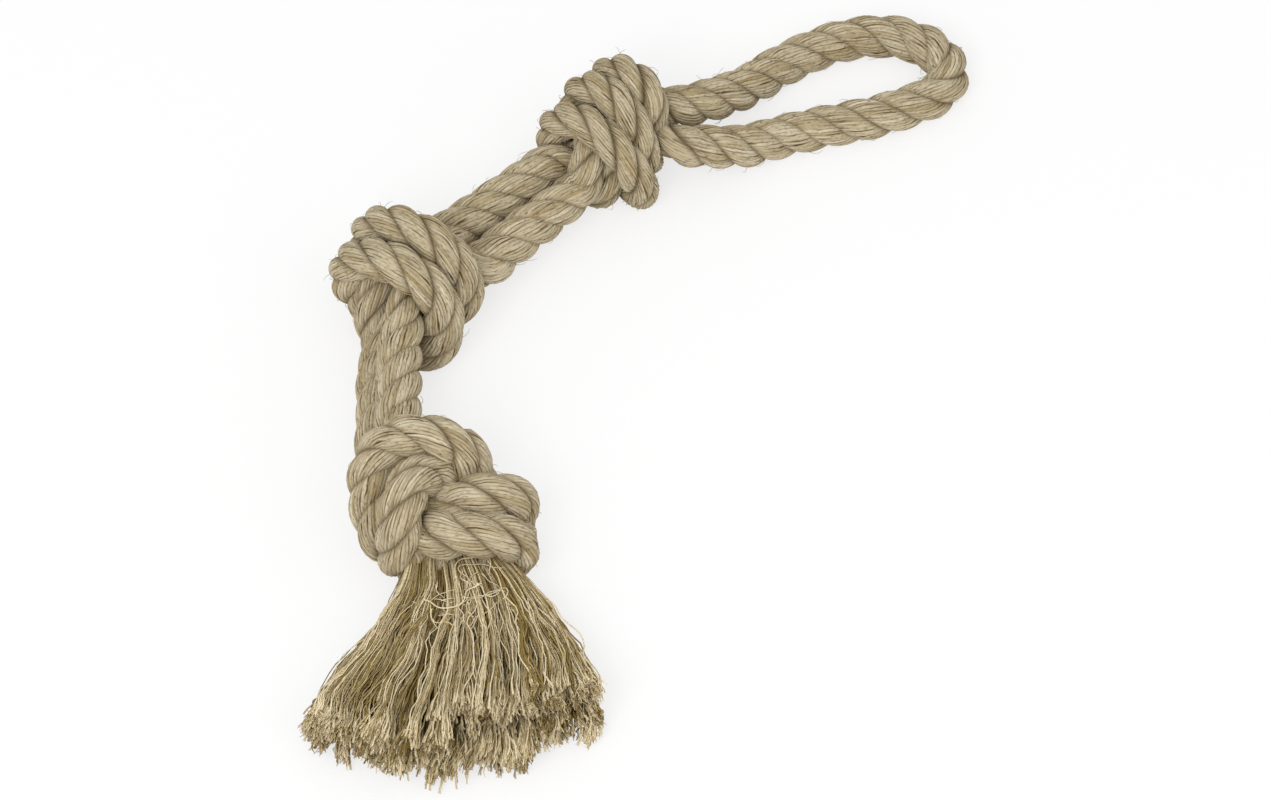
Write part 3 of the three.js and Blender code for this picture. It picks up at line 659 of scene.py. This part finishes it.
def srgb(*levels):
    """A colour as it shows on screen, from 0 to 255, made linear."""
    shares = [level / 255 for level in levels]
    linear = [s / 12.92 if s < 0.0404 else ((s + 0.055) / 1.055) ** 2.4 for s in shares]
    return (*linear, 1.0)


def yarn_material(name, values, bump, bump_size):
    """A matte fibre finish that uses the spun yarn group with its own values."""
    material = bpy.data.materials.new(name)
    material.use_nodes = True
    tree = material.node_tree
    shader = tree.nodes["Principled BSDF"]
    for socket, value in MATTE_FIBRE.items():
        shader.inputs[socket].default_value = value
    look = add_node(tree, "Group", values, node_tree=spun_yarn)
    bumps = {"Height": look["Height"], "Strength": bump, "Distance": bump_size * MM}
    tree.links.new(look["Color"], shader.inputs["Base Color"])
    tree.links.new(add_node(tree, "Bump", bumps)[0], shader.inputs["Normal"])
    return material


# Dark is the colour of the painted shade in the lines and grooves.
ROPE_LOOK = {
    "Dark": srgb(80, 60, 18),
    "Middle": srgb(160, 143, 106),
    "Light": srgb(214, 202, 175),
    "Warm": srgb(164, 141, 96),
    "Groove Depth": 1.05,
    "Shade": 0.7,
    "Variation": 1.05,
    "Fibre Length": 11.0,
}
rope_finish = yarn_material("laid_rope", ROPE_LOOK, bump=0.7, bump_size=0.4)
print("finish of the rope:", rope_finish.name)

# %% [markdown]
# ## Rope pieces
# Strands, yarns and fibres are all open tubes. A tube carries what the finish reads: the yarn's
# number round it and how that climbs, the way along, how much painted light each place gets and a
# tone.

# %% Make a mesh from tubes of points
def cell_corners(grid):
    """The four corners of every cell of a grid."""
    return np.stack([grid[:-1, :-1], grid[:-1, 1:], grid[1:, 1:], grid[1:, :-1]], axis=2)


def tube_mesh(name, tubes, finish):
    """One object from tubes: places, yarn numbers, way along, painted light level, tone and climb.
    """
    places, quads, coordinates, tones = [], [], [], []
    start = 0
    for surface, number, along, painted_light_level, tone, climb in tubes:
        steps, round_it = surface.shape[:2]
        column = np.append(np.arange(round_it), 0)
        whole_round = number[0] + (number[1] - number[0]) * round_it
        grid = np.empty((steps, round_it + 1, 3))
        grid[..., 0] = np.append(number, whole_round) + climb[:, None]
        grid[..., 1] = along[:, None]
        grid[..., 2] = painted_light_level[:, column]
        index = start + round_it * np.arange(steps)[:, None] + column
        places.append(surface.reshape(-1, 3))
        quads.append(cell_corners(index).reshape(-1, 4))
        coordinates.append(cell_corners(grid).reshape(-1, 3))
        tones.append((tone * np.ones((steps - 1, round_it))).ravel())
        start += steps * round_it
    mesh = bpy.data.meshes.new(name)
    mesh.from_pydata(in_frame(np.vstack(places)).tolist(), [], np.vstack(quads).tolist())
    yarn = mesh.attributes.new("yarn", "FLOAT_VECTOR", "CORNER")
    yarn.data.foreach_set("vector", np.vstack(coordinates).astype(np.float32).ravel())
    own_tone = mesh.attributes.new("tone", "FLOAT", "FACE")
    own_tone.data.foreach_set("value", np.concatenate(tones).astype(np.float32))
    mesh.shade_smooth()
    mesh.materials.append(finish)
    return in_scene(name, mesh)


def tubes_along(lines, radius, sides):
    """Corner places of thin tubes round many lines at once."""
    ahead = unit(np.gradient(lines, axis=1))
    side = unit(np.cross(ahead, UP))
    rise = np.cross(side, ahead)
    angle = FULL_TURN * np.arange(sides) / sides
    ring = side[:, :, None] * np.cos(angle)[:, None] + rise[:, :, None] * np.sin(angle)[:, None]
    return lines[:, :, None] + ring * radius[:, :, None, None]


# %% [markdown]
# Loose fibres are the thinnest tubes. They stand off the strands and fray the tassel's tips.

# %% Fibres and stretches of rope
FIBRE_POINTS = 4
FIBRE_SIDES = 3
FUZZ_EVERY = 0.9
FUZZ_MARGIN = 6
FUZZ_REACH = (2.0, 6.0)
FUZZ_LIFT = (0.3, 1.5)
FUZZ_STRAY = 0.9
FUZZ_RADII = (0.13, 0.07)
FUZZ_PATTERN = 4.0
FUZZ_TONE = 0.7
STRAND_TONES = (0.5, 0.16)
strand_tones = random.normal(*STRAND_TONES, (STRANDS, YARNS))


def fibre_tubes(roots, ends, bow, radii, pattern, painted_lights, tones):
    """Thin tapering tubes that bow from root to end, with a painted light level and a tone for
    each.
    """
    share = np.linspace(0, 1, FIBRE_POINTS)[None, :, None]
    lines = roots[:, None] + (ends - roots)[:, None] * share + bow[:, None] * np.sin(np.pi * share)
    lines[..., 2] = np.maximum(lines[..., 2], LOWEST)
    thin = np.linspace(*radii, FIBRE_POINTS)[None, :] * np.ones((len(roots), 1))
    number = np.arange(FIBRE_SIDES) / FIBRE_SIDES
    along = np.linspace(0, pattern, FIBRE_POINTS)
    tubes = []
    for surface, light, tone in zip(tubes_along(lines, thin, FIBRE_SIDES), painted_lights, tones):
        painted_light_level = np.full((FIBRE_POINTS, FIBRE_SIDES), light)
        tubes.append((surface, number, along, painted_light_level, tone, 0 * along))
    return tubes


def fuzz_tubes(first, last):
    """Short loose fibres that stand off the strands."""
    count = int((last - first) * ROUTE_STEP / FUZZ_EVERY)
    at = random.integers(first, max(last - FUZZ_MARGIN, first + 1), count)
    strand = random.integers(0, STRANDS, count)
    column = random.integers(0, CORNERS, count)
    root = np.array([strands[s][0][i, c] for s, i, c in zip(strand, at, column)])
    out = unit(root - route_centre[at])
    reach = random.uniform(*FUZZ_REACH, (count, 1))
    lift = random.uniform(*FUZZ_LIFT, (count, 1))
    ends = root + route_ahead[at] * reach * random.choice([-1, 1], (count, 1)) + out * lift
    ends = ends + random.normal(0, FUZZ_STRAY, (count, 3))
    painted_lights, tones = np.ones(count), np.full(count, FUZZ_TONE)
    return fibre_tubes(root, ends, out * lift, FUZZ_RADII, FUZZ_PATTERN, painted_lights, tones)


def rope_piece(name, first, last):
    """The three strands of the rope between two places of the route."""
    tubes = []
    part = slice(first, last + 1)
    along = route_along[part]
    for number, (surface, crown) in enumerate(strands):
        yarn_number = number * YARNS + corner / YARN_CORNERS
        tone = strand_tones[number][corner // YARN_CORNERS]
        tubes.append((surface[part], yarn_number, along, crown[part], tone, 0 * along))
    return tube_mesh(name, tubes + fuzz_tubes(first, last), rope_finish)


# %% [markdown]
# A piece may bend across one hinge only, so the rope is cut into stretches with one hinge each.
# The cuts lie in the cores of the knots, or halfway between two hinges, where the strands run
# on without a step.

# %% Find the cuts
LEG_CUT_X = 57.0
UPPER_CUT = upper_at(60.0)
LOWER_CUT = lower_at(-11.5)
EARLY = (0.0, 0.3)
LATE = (0.7, 1.0)


def nearest(indices, point):
    """The place among these that is nearest to a point."""
    return int(indices[np.argmin(np.linalg.norm(route_centre[indices] - point, axis=1))])


def in_core(knot_name, letter, share):
    """The place nearest to a knot's middle, in a share of one rope's pass."""
    inside = np.flatnonzero(route_segment == f"{knot_name}_{letter}")
    low, high = (int(round(s * (len(inside) - 1))) for s in share)
    return nearest(inside[low : high + 1], knot_centre(KNOTS[knot_name]))


def cuts_of(letter, end, leg_cut, share):
    """Where one rope is cut, from the tassel to the handle."""
    whole = np.arange(len(route))[min(end, leg_cut) : max(end + 1, leg_cut)]
    return [
        end,
        in_core("end", letter, share),
        nearest(whole, LOWER_CUT),
        in_core("middle", letter, share),
        nearest(whole, UPPER_CUT),
        in_core("handle", letter, share),
        leg_cut,
    ]


legs = np.array_split(np.flatnonzero(route_segment == "loop"), 2)
leg_cut_a, leg_cut_b = (int(leg[np.abs(route_centre[leg, 0] - LEG_CUT_X).argmin()]) for leg in legs)
rope_cuts = {
    "a": cuts_of("a", 0, leg_cut_a, EARLY),
    "b": cuts_of("b", len(route) - 1, leg_cut_b, LATE),
}
print("cuts:", rope_cuts)

# %% [markdown]
# The table gives, for each stretch, the two bodies beside its hinge and two places of the rope.
# Both ropes have all the stretches but the last. That one is the bight, which they share; it is
# free rope.

# %% Cut the rope into stretches
STRETCHES = {
    "tassel_neck": ("end_knot", "tassel", (TASSEL_X, -121, 13), (TASSEL_X, -132, 13)),
    "end_knot": ("lower_pair", "end_knot", lower_at(-12), lower_at(-34)),
    "lower_run": ("middle_knot", "lower_pair", lower_at(6), lower_at(-11)),
    "middle_knot": ("middle_knot", "upper_pair", upper_at(43), upper_at(60)),
    "upper_run": ("upper_pair", "handle_knot", upper_at(60), upper_at(80)),
    "handle_knot": ("handle_knot", "handle_legs", (26, 148, 17), (52, 148, 17)),
    "handle_bight": ("handle_legs", "handle_end", (60, 170, 8), (94, 170, 8)),
}
SOLIDS = [
    ["tassel_end"],
    ["end_knot_rope"],
    ["lower_rope"],
    ["middle_knot_rope"],
    ["upper_rope"],
    ["handle_knot_rope", "handle_leg"],
]


def hang(piece):
    """Bakes the transform of a piece into its mesh."""
    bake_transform(piece)


for letter, cuts in rope_cuts.items():
    for stretch, nodes, *ends in zip(STRETCHES, SOLIDS, cuts, cuts[1:]):
        piece = rope_piece(f"{stretch}_strands_{letter}", *sorted(ends))
        hang(piece)
        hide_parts(*[f"{node}_{letter}" for node in nodes])
bight = rope_piece("handle_bight_strands", leg_cut_a, leg_cut_b)
hang(bight)
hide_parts("handle_bight")

# %% [markdown]
# ## The tassel
# Below the last knot the ends are combed out into a fan of six locks, three across in two layers.
# Hair particles would do for fur, but these yarns are thick enough to count, so each is a thin
# tube on its own wavy line. A lock has two lengths, one at its left and one at its right.

# %% The fan that the yarns fill
FAN_LEFT = [(-103, -106), (-110.5, -131.8), (-125.5, -154.9), (-140.5, -178), (-148.5, -193)]
FAN_RIGHT = [(-56, -106), (-38, -131.8), (-25.5, -154.9), (-16, -178), (-12.5, -192)]
FAN_STEPS = 16
FAN_TIP_DROP = 26.0
FAN_BEYOND = 95.0
LOCK_OPEN_AT = 0.4
LOCK_STEP = 2 / 3
LOCK_HALF = 1 / 3
LAYERS = {
    "lower": dict(
        heights=(8.5, 7.0), halves=(5.0, 6.0, 7.5), fall=0.2, uneven=0.03, yarns=430, clumps=16
    ),
    "upper": dict(
        heights=(18.0, 19.5), halves=(5.0, 7.0, 10.0), fall=1.1, uneven=0.025, yarns=760, clumps=26
    ),
}
COLUMNS = {"left": -1, "middle": 0, "right": 1}
LOCKS = {
    "left_lower": dict(length=(0.97, 0.97), tip=8.0),
    "left_upper": dict(length=(1.0, 0.98), tip=18.0),
    "middle_lower": dict(length=(0.97, 0.95), tip=8.0),
    "middle_upper": dict(length=(0.95, 0.79), tip=23.0),
    "right_lower": dict(length=(0.94, 0.89), tip=8.0),
    "right_upper": dict(length=(0.77, 0.8), tip=27.0),
}
fan_left = smooth_curve(FAN_LEFT, FAN_STEPS)
fan_right = smooth_curve(FAN_RIGHT, FAN_STEPS)
fan_share = np.linspace(0.0, 1.0, len(fan_left))


def fan_at(across, along):
    """Floor places in the fan: across from -1 to 1, along from 0 to 1."""
    left, right = read_off(along, fan_share, fan_left), read_off(along, fan_share, fan_right)
    place = left + (right - left) * ((across + 1) / 2)[..., None]
    over = np.maximum(along - 1.0, 0.0)
    place[..., 1] -= FAN_TIP_DROP * along**2 * (1 - across**2) + FAN_BEYOND * over
    return place


def lock_height(lock, along):
    """Middle height and half thickness of a lock along its length."""
    at = (0.0, LOCK_OPEN_AT, 1.0)
    middle = np.interp(along, at, (*lock["heights"], lock["tip"]))
    return middle, np.interp(along, at, lock["halves"])


print("fan from", FAN_LEFT[0], "to", FAN_RIGHT[-1])

# %% [markdown]
# Each lock is a handful of clumps, most of them on its upper side. A clump veers a little, ends
# at its own length and opens toward its tip. Its yarns share a slow wave, and every yarn adds a
# quicker crimp. Heights and widths count in halves of a lock.

# %% Lines of the yarns
YARN_POINTS = 24
YARN_RADIUS = 0.36
TOP_SHARE = 0.65
TOP_HEIGHTS = (0.35, 0.95)
UNDER_HEIGHTS = (-0.8, 0.3)
CLUMP_PLACES = (0.15, 0.85)
CLUMP_VEER = 0.1
CLUMP_WIDTH = 2.2
CLUMP_HEIGHT = 0.35
CLUMP_WAIST = 0.35
CLUMP_FLARE = 0.15
FREE_SHARE = 0.3
FREE_REACH = 2.5
LENGTH_STEP = (-0.45, -0.2)
LONGEST = 1.01
END_UNEVEN = 0.018
LOCK_REACH = 1.2
FAN_EDGE = (0.92, 0.99)
FAN_LENGTH = 100.0
SLOW_SIZE = (0.6, 2.0)
SLOW_LENGTH = (28, 56)
SLOW_RISE = 0.6
CRIMP_SIZE = (0.15, 0.55)
CRIMP_LENGTH = (9, 18)
WAVES_GROW = 3.0
LIGHT_RISE = 0.72
LIGHT_LEVEL = 0.35
LIGHT_LEAST = -0.2
TIP_PAINTED_LIGHT = 0.7
TIP_FROM = 0.85
TIP_RISE = 7.0
CLUMP_TONE = (0.47, 0.26)
YARN_TONE = 0.22


def near_tip(along):
    """Zero along a yarn and one at its tip."""
    return smooth_step((along - TIP_FROM) * TIP_RISE)


def waves(run, count, owner, size, length, rng):
    """A sideways and an upward wave for every yarn, shared by the yarns of one owner."""
    height = rng.uniform(*size, count)[owner][:, None]
    step = FULL_TURN * run / rng.uniform(*length, count)[owner][:, None]
    phase = rng.uniform(0, FULL_TURN, (2, count))[:, owner][:, :, None]
    return height * np.sin(step + phase[0]), height * np.sin(step + phase[1])


def spread_out(count, rng):
    """Places from -1 to 1, one in each of as many equal stretches, in any order."""
    return (rng.permutation(count) + rng.uniform(*CLUMP_PLACES, count)) * 2 / count - 1


def lock_lines(column, lock, rng):
    """Lines of a lock's yarns, the painted light each place gets and each yarn's tone."""
    count, clumps = lock["yarns"], lock["clumps"]
    clump = rng.integers(0, clumps, count)
    top = int(TOP_SHARE * clumps)
    under = clumps - top
    clump_x = np.concatenate([spread_out(top, rng), spread_out(under, rng)])
    clump_z = np.concatenate([rng.uniform(*TOP_HEIGHTS, top), rng.uniform(*UNDER_HEIGHTS, under)])
    clump_z = clump_z - lock["fall"] * np.abs(clump_x) ** 3
    veer = rng.normal(0, CLUMP_VEER, clumps)[clump][:, None]
    own_angle = rng.uniform(0, FULL_TURN, count)[:, None]
    own_out = np.sqrt(rng.random(count))
    own_out = (own_out * np.where(rng.random(count) < FREE_SHARE, FREE_REACH, 1.0))[:, None]
    along = np.linspace(0.0, 1.0, YARN_POINTS)[None, :]
    clump_ends = np.interp(clump_x, LENGTH_STEP, lock["length"])
    clump_ends = clump_ends + rng.normal(0, lock["uneven"], clumps)
    ends = np.minimum(clump_ends[clump], LONGEST) + rng.normal(0, END_UNEVEN, count)
    share = along * ends[:, None]
    own_out = own_out * (1.0 - CLUMP_WAIST * np.sin(np.pi * along) + CLUMP_FLARE * along**2)
    x = clump_x[clump][:, None] + veer * share**2
    x = x + CLUMP_WIDTH / clumps * own_out * np.cos(own_angle)
    z = clump_z[clump][:, None] + CLUMP_HEIGHT * own_out * np.sin(own_angle)
    z = np.minimum(z, 1.0)
    edge = rng.uniform(*FAN_EDGE, (count, 1))
    x = column * LOCK_STEP + np.clip(x, -LOCK_REACH, LOCK_REACH) * LOCK_HALF
    place = fan_at(np.clip(x, -edge, edge), share)
    middle, half = lock_height(lock, share)
    run = share * FAN_LENGTH
    slow = waves(run, clumps, clump, SLOW_SIZE, SLOW_LENGTH, rng)
    crimp = waves(run, count, np.arange(count), CRIMP_SIZE, CRIMP_LENGTH, rng)
    grow = smooth_step(share * WAVES_GROW)
    lines = np.dstack([place, middle + half * z])
    lines[..., 0] += (slow[0] + crimp[0]) * grow
    lines[..., 2] += (SLOW_RISE * slow[1] + crimp[1]) * grow
    lines[..., 2] = np.maximum(lines[..., 2], YARN_RADIUS)
    # Painted light: yarns low in the lock or at its edges get painted shade, and the tips are
    # painted lit.
    light = np.clip(LIGHT_RISE * z + LIGHT_LEVEL, LIGHT_LEAST, 1.0) + TIP_PAINTED_LIGHT * near_tip(along)
    tone = rng.normal(*CLUMP_TONE, clumps)[clump] + rng.normal(0, YARN_TONE, count)
    return lines, light, tone


# %% [markdown]
# Some yarns have come loose: they lie across the others, or curl on the root under the knot.

# %% Loose yarns
STRAY_LIFT = (2.0, 5.0)
STRAY_WAVES = (2.0, 5.0)
STRAY_WAVE_SIZE = 1.2
STRAY_SIDEWAYS = 4.0
CURL_STEP = 0.7
CURL_POINTS = 48
CURL_ACROSS = (-0.35, 0.35)
CURL_ALONG = (0.1, 0.3)
CURL_BEND = 0.06
CURL_BENDS = ((0.2, (14, 30)), (0.22, (8, 14)))
CURL_HEIGHTS = (23.5, 26.5)
CURL_RISE = 0.9


def stray_lines(lines, count, rng):
    """A few of the yarns, lifted off the others and bent to one side."""
    strays = lines[rng.choice(len(lines), count, replace=False)].copy()
    along = np.linspace(0.0, 1.0, YARN_POINTS)[None, :]
    bow = np.sin(np.pi * along) ** 2
    wave = FULL_TURN * (along * rng.uniform(*STRAY_WAVES, (count, 1)) + rng.random((count, 1)))
    sideways = rng.normal(0, STRAY_SIDEWAYS, (count, 1)) * along
    strays[..., 0] += (sideways + STRAY_WAVE_SIZE * np.sin(wave)) * bow
    strays[..., 2] += rng.uniform(*STRAY_LIFT, (count, 1)) * bow
    return strays


def curl_lines(count, rng):
    """Curls that lie on the root of the tassel."""
    start = fan_at(rng.uniform(*CURL_ACROSS, count), rng.uniform(*CURL_ALONG, count))
    run = np.arange(CURL_POINTS) * CURL_STEP
    bend = rng.normal(0, CURL_BEND, (count, 1))
    for size, length in CURL_BENDS:
        turns = run / rng.uniform(*length, (count, 1)) + rng.random((count, 1))
        bend = bend + size * np.sin(FULL_TURN * turns)
    turn = np.cumsum(bend * CURL_STEP, axis=1)
    heading = rng.uniform(0, FULL_TURN, (count, 1)) + turn
    step = CURL_STEP * np.stack([np.cos(heading), np.sin(heading)], axis=-1)
    places = start[:, None] + np.cumsum(step, axis=1) - step.sum(axis=1, keepdims=True) / 2
    rise = rng.uniform(*CURL_HEIGHTS, (count, 1)) + CURL_RISE * np.sin(turn)
    return np.dstack([places, rise])


# %% [markdown]
# A yarn is two plies twisted together. The twist is too fine for the mesh, so a coordinate climbs
# round the tube and the finish draws the plies from it. A cut end opens into thin fibres.

# %% Tubes for yarns and frayed tips
PLIES = 2
PLY_LENGTH = 4.0
YARN_SIDES = 3
YARN_SIZES = (0.75, 1.25)
TIP_FLARE = 0.6
TIP_LIGHT = 0.3
TIP_FIBRES = 2
TIP_REACH = (2.0, 4.5)
TIP_SPREAD = 0.28
TIP_CURL = 0.5
TIP_RADII = (0.34, 0.16)
TIP_PATTERN = 5.0


def yarn_tubes(lines, light, tone, size, rng):
    """Tubes for yarns and for the fibres at their tips."""
    count, steps = lines.shape[:2]
    at_tip = near_tip(np.linspace(0.0, 1.0, steps))
    radius = size * YARN_RADIUS * rng.uniform(*YARN_SIZES, (count, 1)) * (1.0 + TIP_FLARE * at_tip)
    surface = tubes_along(lines, radius, YARN_SIDES)
    surface[..., 2] = np.maximum(surface[..., 2], LOWEST)
    around = PLIES * np.arange(YARN_SIDES) / YARN_SIDES
    tubes = []
    for i in range(count):
        along = length_along(lines[i])
        painted_lights = light[i][:, None] * np.ones(YARN_SIDES)
        # Painted light: the tips and their fibres are painted lighter, where light falls on the cut
        # ends.
        tones = tone[i] + TIP_LIGHT * at_tip[1:, None]
        tubes.append((surface[i], around, along, painted_lights, tones, PLIES * along / PLY_LENGTH))
    tip, toward = lines[:, -2], unit(lines[:, -1] - lines[:, -4])
    tip_tone = tone + 0.5 * TIP_LIGHT
    for _ in range(TIP_FIBRES):
        reach = rng.uniform(*TIP_REACH, (count, 1))
        ends = tip + toward * reach + rng.normal(0, TIP_SPREAD, (count, 3)) * reach
        curl = rng.normal(0, TIP_CURL, (count, 3))
        tubes += fibre_tubes(tip, ends, curl, TIP_RADII, TIP_PATTERN, light[:, -1], tip_tone)
    return tubes


# %% [markdown]
# The tassel is a little darker and yellower than the rope, because loose fibres shade each other.

# %% Finish of the loose yarn
# Dark is the colour of the painted shade between and under the yarns.
TASSEL_LOOK = {
    "Dark": srgb(67, 50, 6),
    "Middle": srgb(154, 131, 74),
    "Light": srgb(240, 224, 186),
    "Warm": srgb(166, 136, 68),
    "Groove Depth": 0.3,
    "Shade": 0.72,
    "Variation": 1.5,
    "Fibre Length": 30.0,
}
tassel_finish = yarn_material("loose_yarn", TASSEL_LOOK, bump=0.4, bump_size=0.3)
print("finish of the tassel:", tassel_finish.name)

# %% [markdown]
# A skin inside each lock keeps daylight from showing between its yarns; it is painted in full
# shade.

# %% Skins inside the locks
SKIN_SIDES = 20
SKIN_STEPS = 12
SKIN_ALONG = (0.06, 0.84)
SKIN_WIDE = 0.9
SKIN_HIGH = 0.3
SKIN_SINK = 0.25
SKIN_SQUARE = 0.7
SKIN_LOCK_HALF = 1 / 3.05
SKIN_LOWEST = 0.5
SKIN_CLOSING = 0.02
SKIN_PAINTED_LIGHT = -1.0
SKIN_TONE = 0.3


def squared(value):
    """A sine or cosine with fuller corners."""
    return np.sign(value) * np.abs(value) ** SKIN_SQUARE


def lock_skin(column, lock):
    """A skin inside a lock, painted in full shade and closed at its tip."""
    angle = FULL_TURN * np.arange(SKIN_SIDES) / SKIN_SIDES
    along = np.linspace(*SKIN_ALONG, SKIN_STEPS)[:, None] * min(lock["length"])
    x = SKIN_WIDE * squared(np.cos(angle))[None, :]
    z = SKIN_HIGH * squared(np.sin(angle))[None, :] - SKIN_SINK
    middle, half = lock_height(lock, along)
    height = np.maximum(middle + half * z, SKIN_LOWEST)
    places = fan_at(column * LOCK_STEP + x * SKIN_LOCK_HALF + 0 * along, along + 0 * x)
    surface = np.dstack([places, height])
    closing = surface[-1:].mean(axis=1, keepdims=True) + 0 * surface[-1:]
    surface = np.concatenate([surface, closing], axis=0)
    run = np.append(along[:, 0], along[-1, 0] + SKIN_CLOSING) * FAN_LENGTH
    # The whole skin is painted in full shade.
    painted_lights = np.full(surface.shape[:2], SKIN_PAINTED_LIGHT)
    return (surface, np.arange(float(SKIN_SIDES)), run, painted_lights, SKIN_TONE, 0 * run)


# %% [markdown]
# Each of the six locks becomes a mesh of its own; a side lock also finds two places on its fan.

# %% The six locks
STRAYS = 20
CURLS = 14
LOOSE_SIZE = 0.85
LOOSE_TONES = (0.9, 1.4)
SIDE_BEND = (0.22, 0.5)
rng = np.random.default_rng(7)
for column_name, column in COLUMNS.items():
    for layer_name in LAYERS:
        lock_name = f"{column_name}_{layer_name}"
        shape = {**LAYERS[layer_name], **LOCKS[lock_name]}
        lines, light, tone = lock_lines(column, shape, rng)
        tubes = [lock_skin(column, shape)] + yarn_tubes(lines, light, tone, 1.0, rng)
        if layer_name == "upper":
            loose = [stray_lines(lines, STRAYS, rng)]
            if column == 0:
                loose.append(curl_lines(CURLS, rng))
            for free in loose:
                tones = rng.uniform(*LOOSE_TONES, len(free))
                bright = np.ones(free.shape[:2])
                tubes += yarn_tubes(free, bright, tones, LOOSE_SIZE, rng)
        lock = tube_mesh(f"tassel_yarn_{lock_name}", tubes, tassel_finish)
        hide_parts(f"tassel_lock_{column_name}_{layer_name}")
        if column == 0:
            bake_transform(lock)
        else:
            bend = [fan_at(np.array(column * LOCK_STEP), np.array(share)) for share in SIDE_BEND]
            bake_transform(lock)
        print(f"{lock.name}: {len(lock.data.polygons)} faces")

# %% [markdown]
# ## Floor, light and camera
# A pale floor under large soft lamps, as in a product picture. The paper glows a little, so that
# it stays near white while it still takes the toy's shadow.

# %% Floor
FLOOR_SIZE = 12.0
FLOOR_GRID = 4
PAPER_WHITE = 0.7
PAPER_COLOUR = (0.9, 0.9, 0.9, 1)
PAPER_ROUGHNESS = 0.9
bpy.ops.mesh.primitive_grid_add(
    x_subdivisions=FLOOR_GRID, y_subdivisions=FLOOR_GRID, size=FLOOR_SIZE, location=(0, 0, 0)
)
floor = bpy.context.object
floor.name = "floor"
paper = bpy.data.materials.new("white_paper")
paper.use_nodes = True
tree = paper.node_tree
paper_shader = tree.nodes["Principled BSDF"]
paper_shader.inputs["Base Color"].default_value = PAPER_COLOUR
paper_shader.inputs["Roughness"].default_value = PAPER_ROUGHNESS
paper_glow = add_node(tree, "Emission", {})[0]
ray = add_node(tree, "LightPath", {})
seen = math_node(tree, "MAXIMUM", ray["Is Camera Ray"], ray["Is Glossy Ray"])
seen = math_node(tree, "MAXIMUM", seen, ray["Is Transmission Ray"])
glow_share = math_node(tree, "MULTIPLY", seen, PAPER_WHITE)
paper_mix = {"Fac": glow_share, 1: paper_shader.outputs[0], 2: paper_glow}
paper_seen = add_node(tree, "MixShader", paper_mix)[0]
tree.links.new(paper_seen, tree.nodes["Material Output"].inputs["Surface"])
floor.data.materials.append(paper)

# %% [markdown]
# The key lamp stands at the front left and the fill lamp at the front right, in a white room.

# %% Lamps
ROOM_LIGHT = 0.78
LAMPS = {
    "key_lamp": dict(place=(-0.7, -1.6, 1.8), size=1.2, power=26),
    "fill_lamp": dict(place=(1.3, -0.9, 1.7), size=1.6, power=6),
}
world = bpy.data.worlds.new("soft_room")
bpy.context.scene.world = world
world.use_nodes = True
room = world.node_tree.nodes["Background"]
room.inputs["Color"].default_value = (1, 1, 1, 1)
room.inputs["Strength"].default_value = ROOM_LIGHT
for name, made in LAMPS.items():
    lamp_data = bpy.data.lights.new(name, "AREA")
    lamp_data.size = made["size"]
    lamp_data.energy = made["power"]
    lamp = in_scene(name, lamp_data)
    lamp.location = made["place"]
    aim = lamp.constraints.new("TRACK_TO")
    aim.target = in_scene(f"{name}_aim", None)
    aim.track_axis = "TRACK_NEGATIVE_Z"
    aim.up_axis = "UP_Y"
print("lamps:", list(LAMPS))

# %% [markdown]
# The camera looks down at about 52 degrees through a long lens, as in the photograph.

# %% Camera
PHOTO_SCALE = 0.4545
PHOTO_WIDTH = 1271
CAMERA_DISTANCE = 6.0
CAMERA_ELEVATION = math.radians(52.0)
CAMERA_REACH = 50.0
SENSOR_WIDTH = 36.0
backward = np.array([0, -math.cos(CAMERA_ELEVATION), math.sin(CAMERA_ELEVATION)])
lens = bpy.data.cameras.new("camera")
lens.sensor_width = SENSOR_WIDTH
lens.lens = SENSOR_WIDTH * CAMERA_DISTANCE / (PHOTO_WIDTH * PHOTO_SCALE * MM)
lens.clip_end = CAMERA_REACH
camera = in_scene("camera", lens)
camera.location = in_frame((0, 0, 0)) + CAMERA_DISTANCE * backward
camera.rotation_euler = (math.pi / 2 - CAMERA_ELEVATION, 0, 0)
bpy.context.scene.camera = camera
bpy.context.scene.view_settings.view_transform = "Standard"
print(f"lens {lens.lens:.0f} mm at {CAMERA_DISTANCE} m")
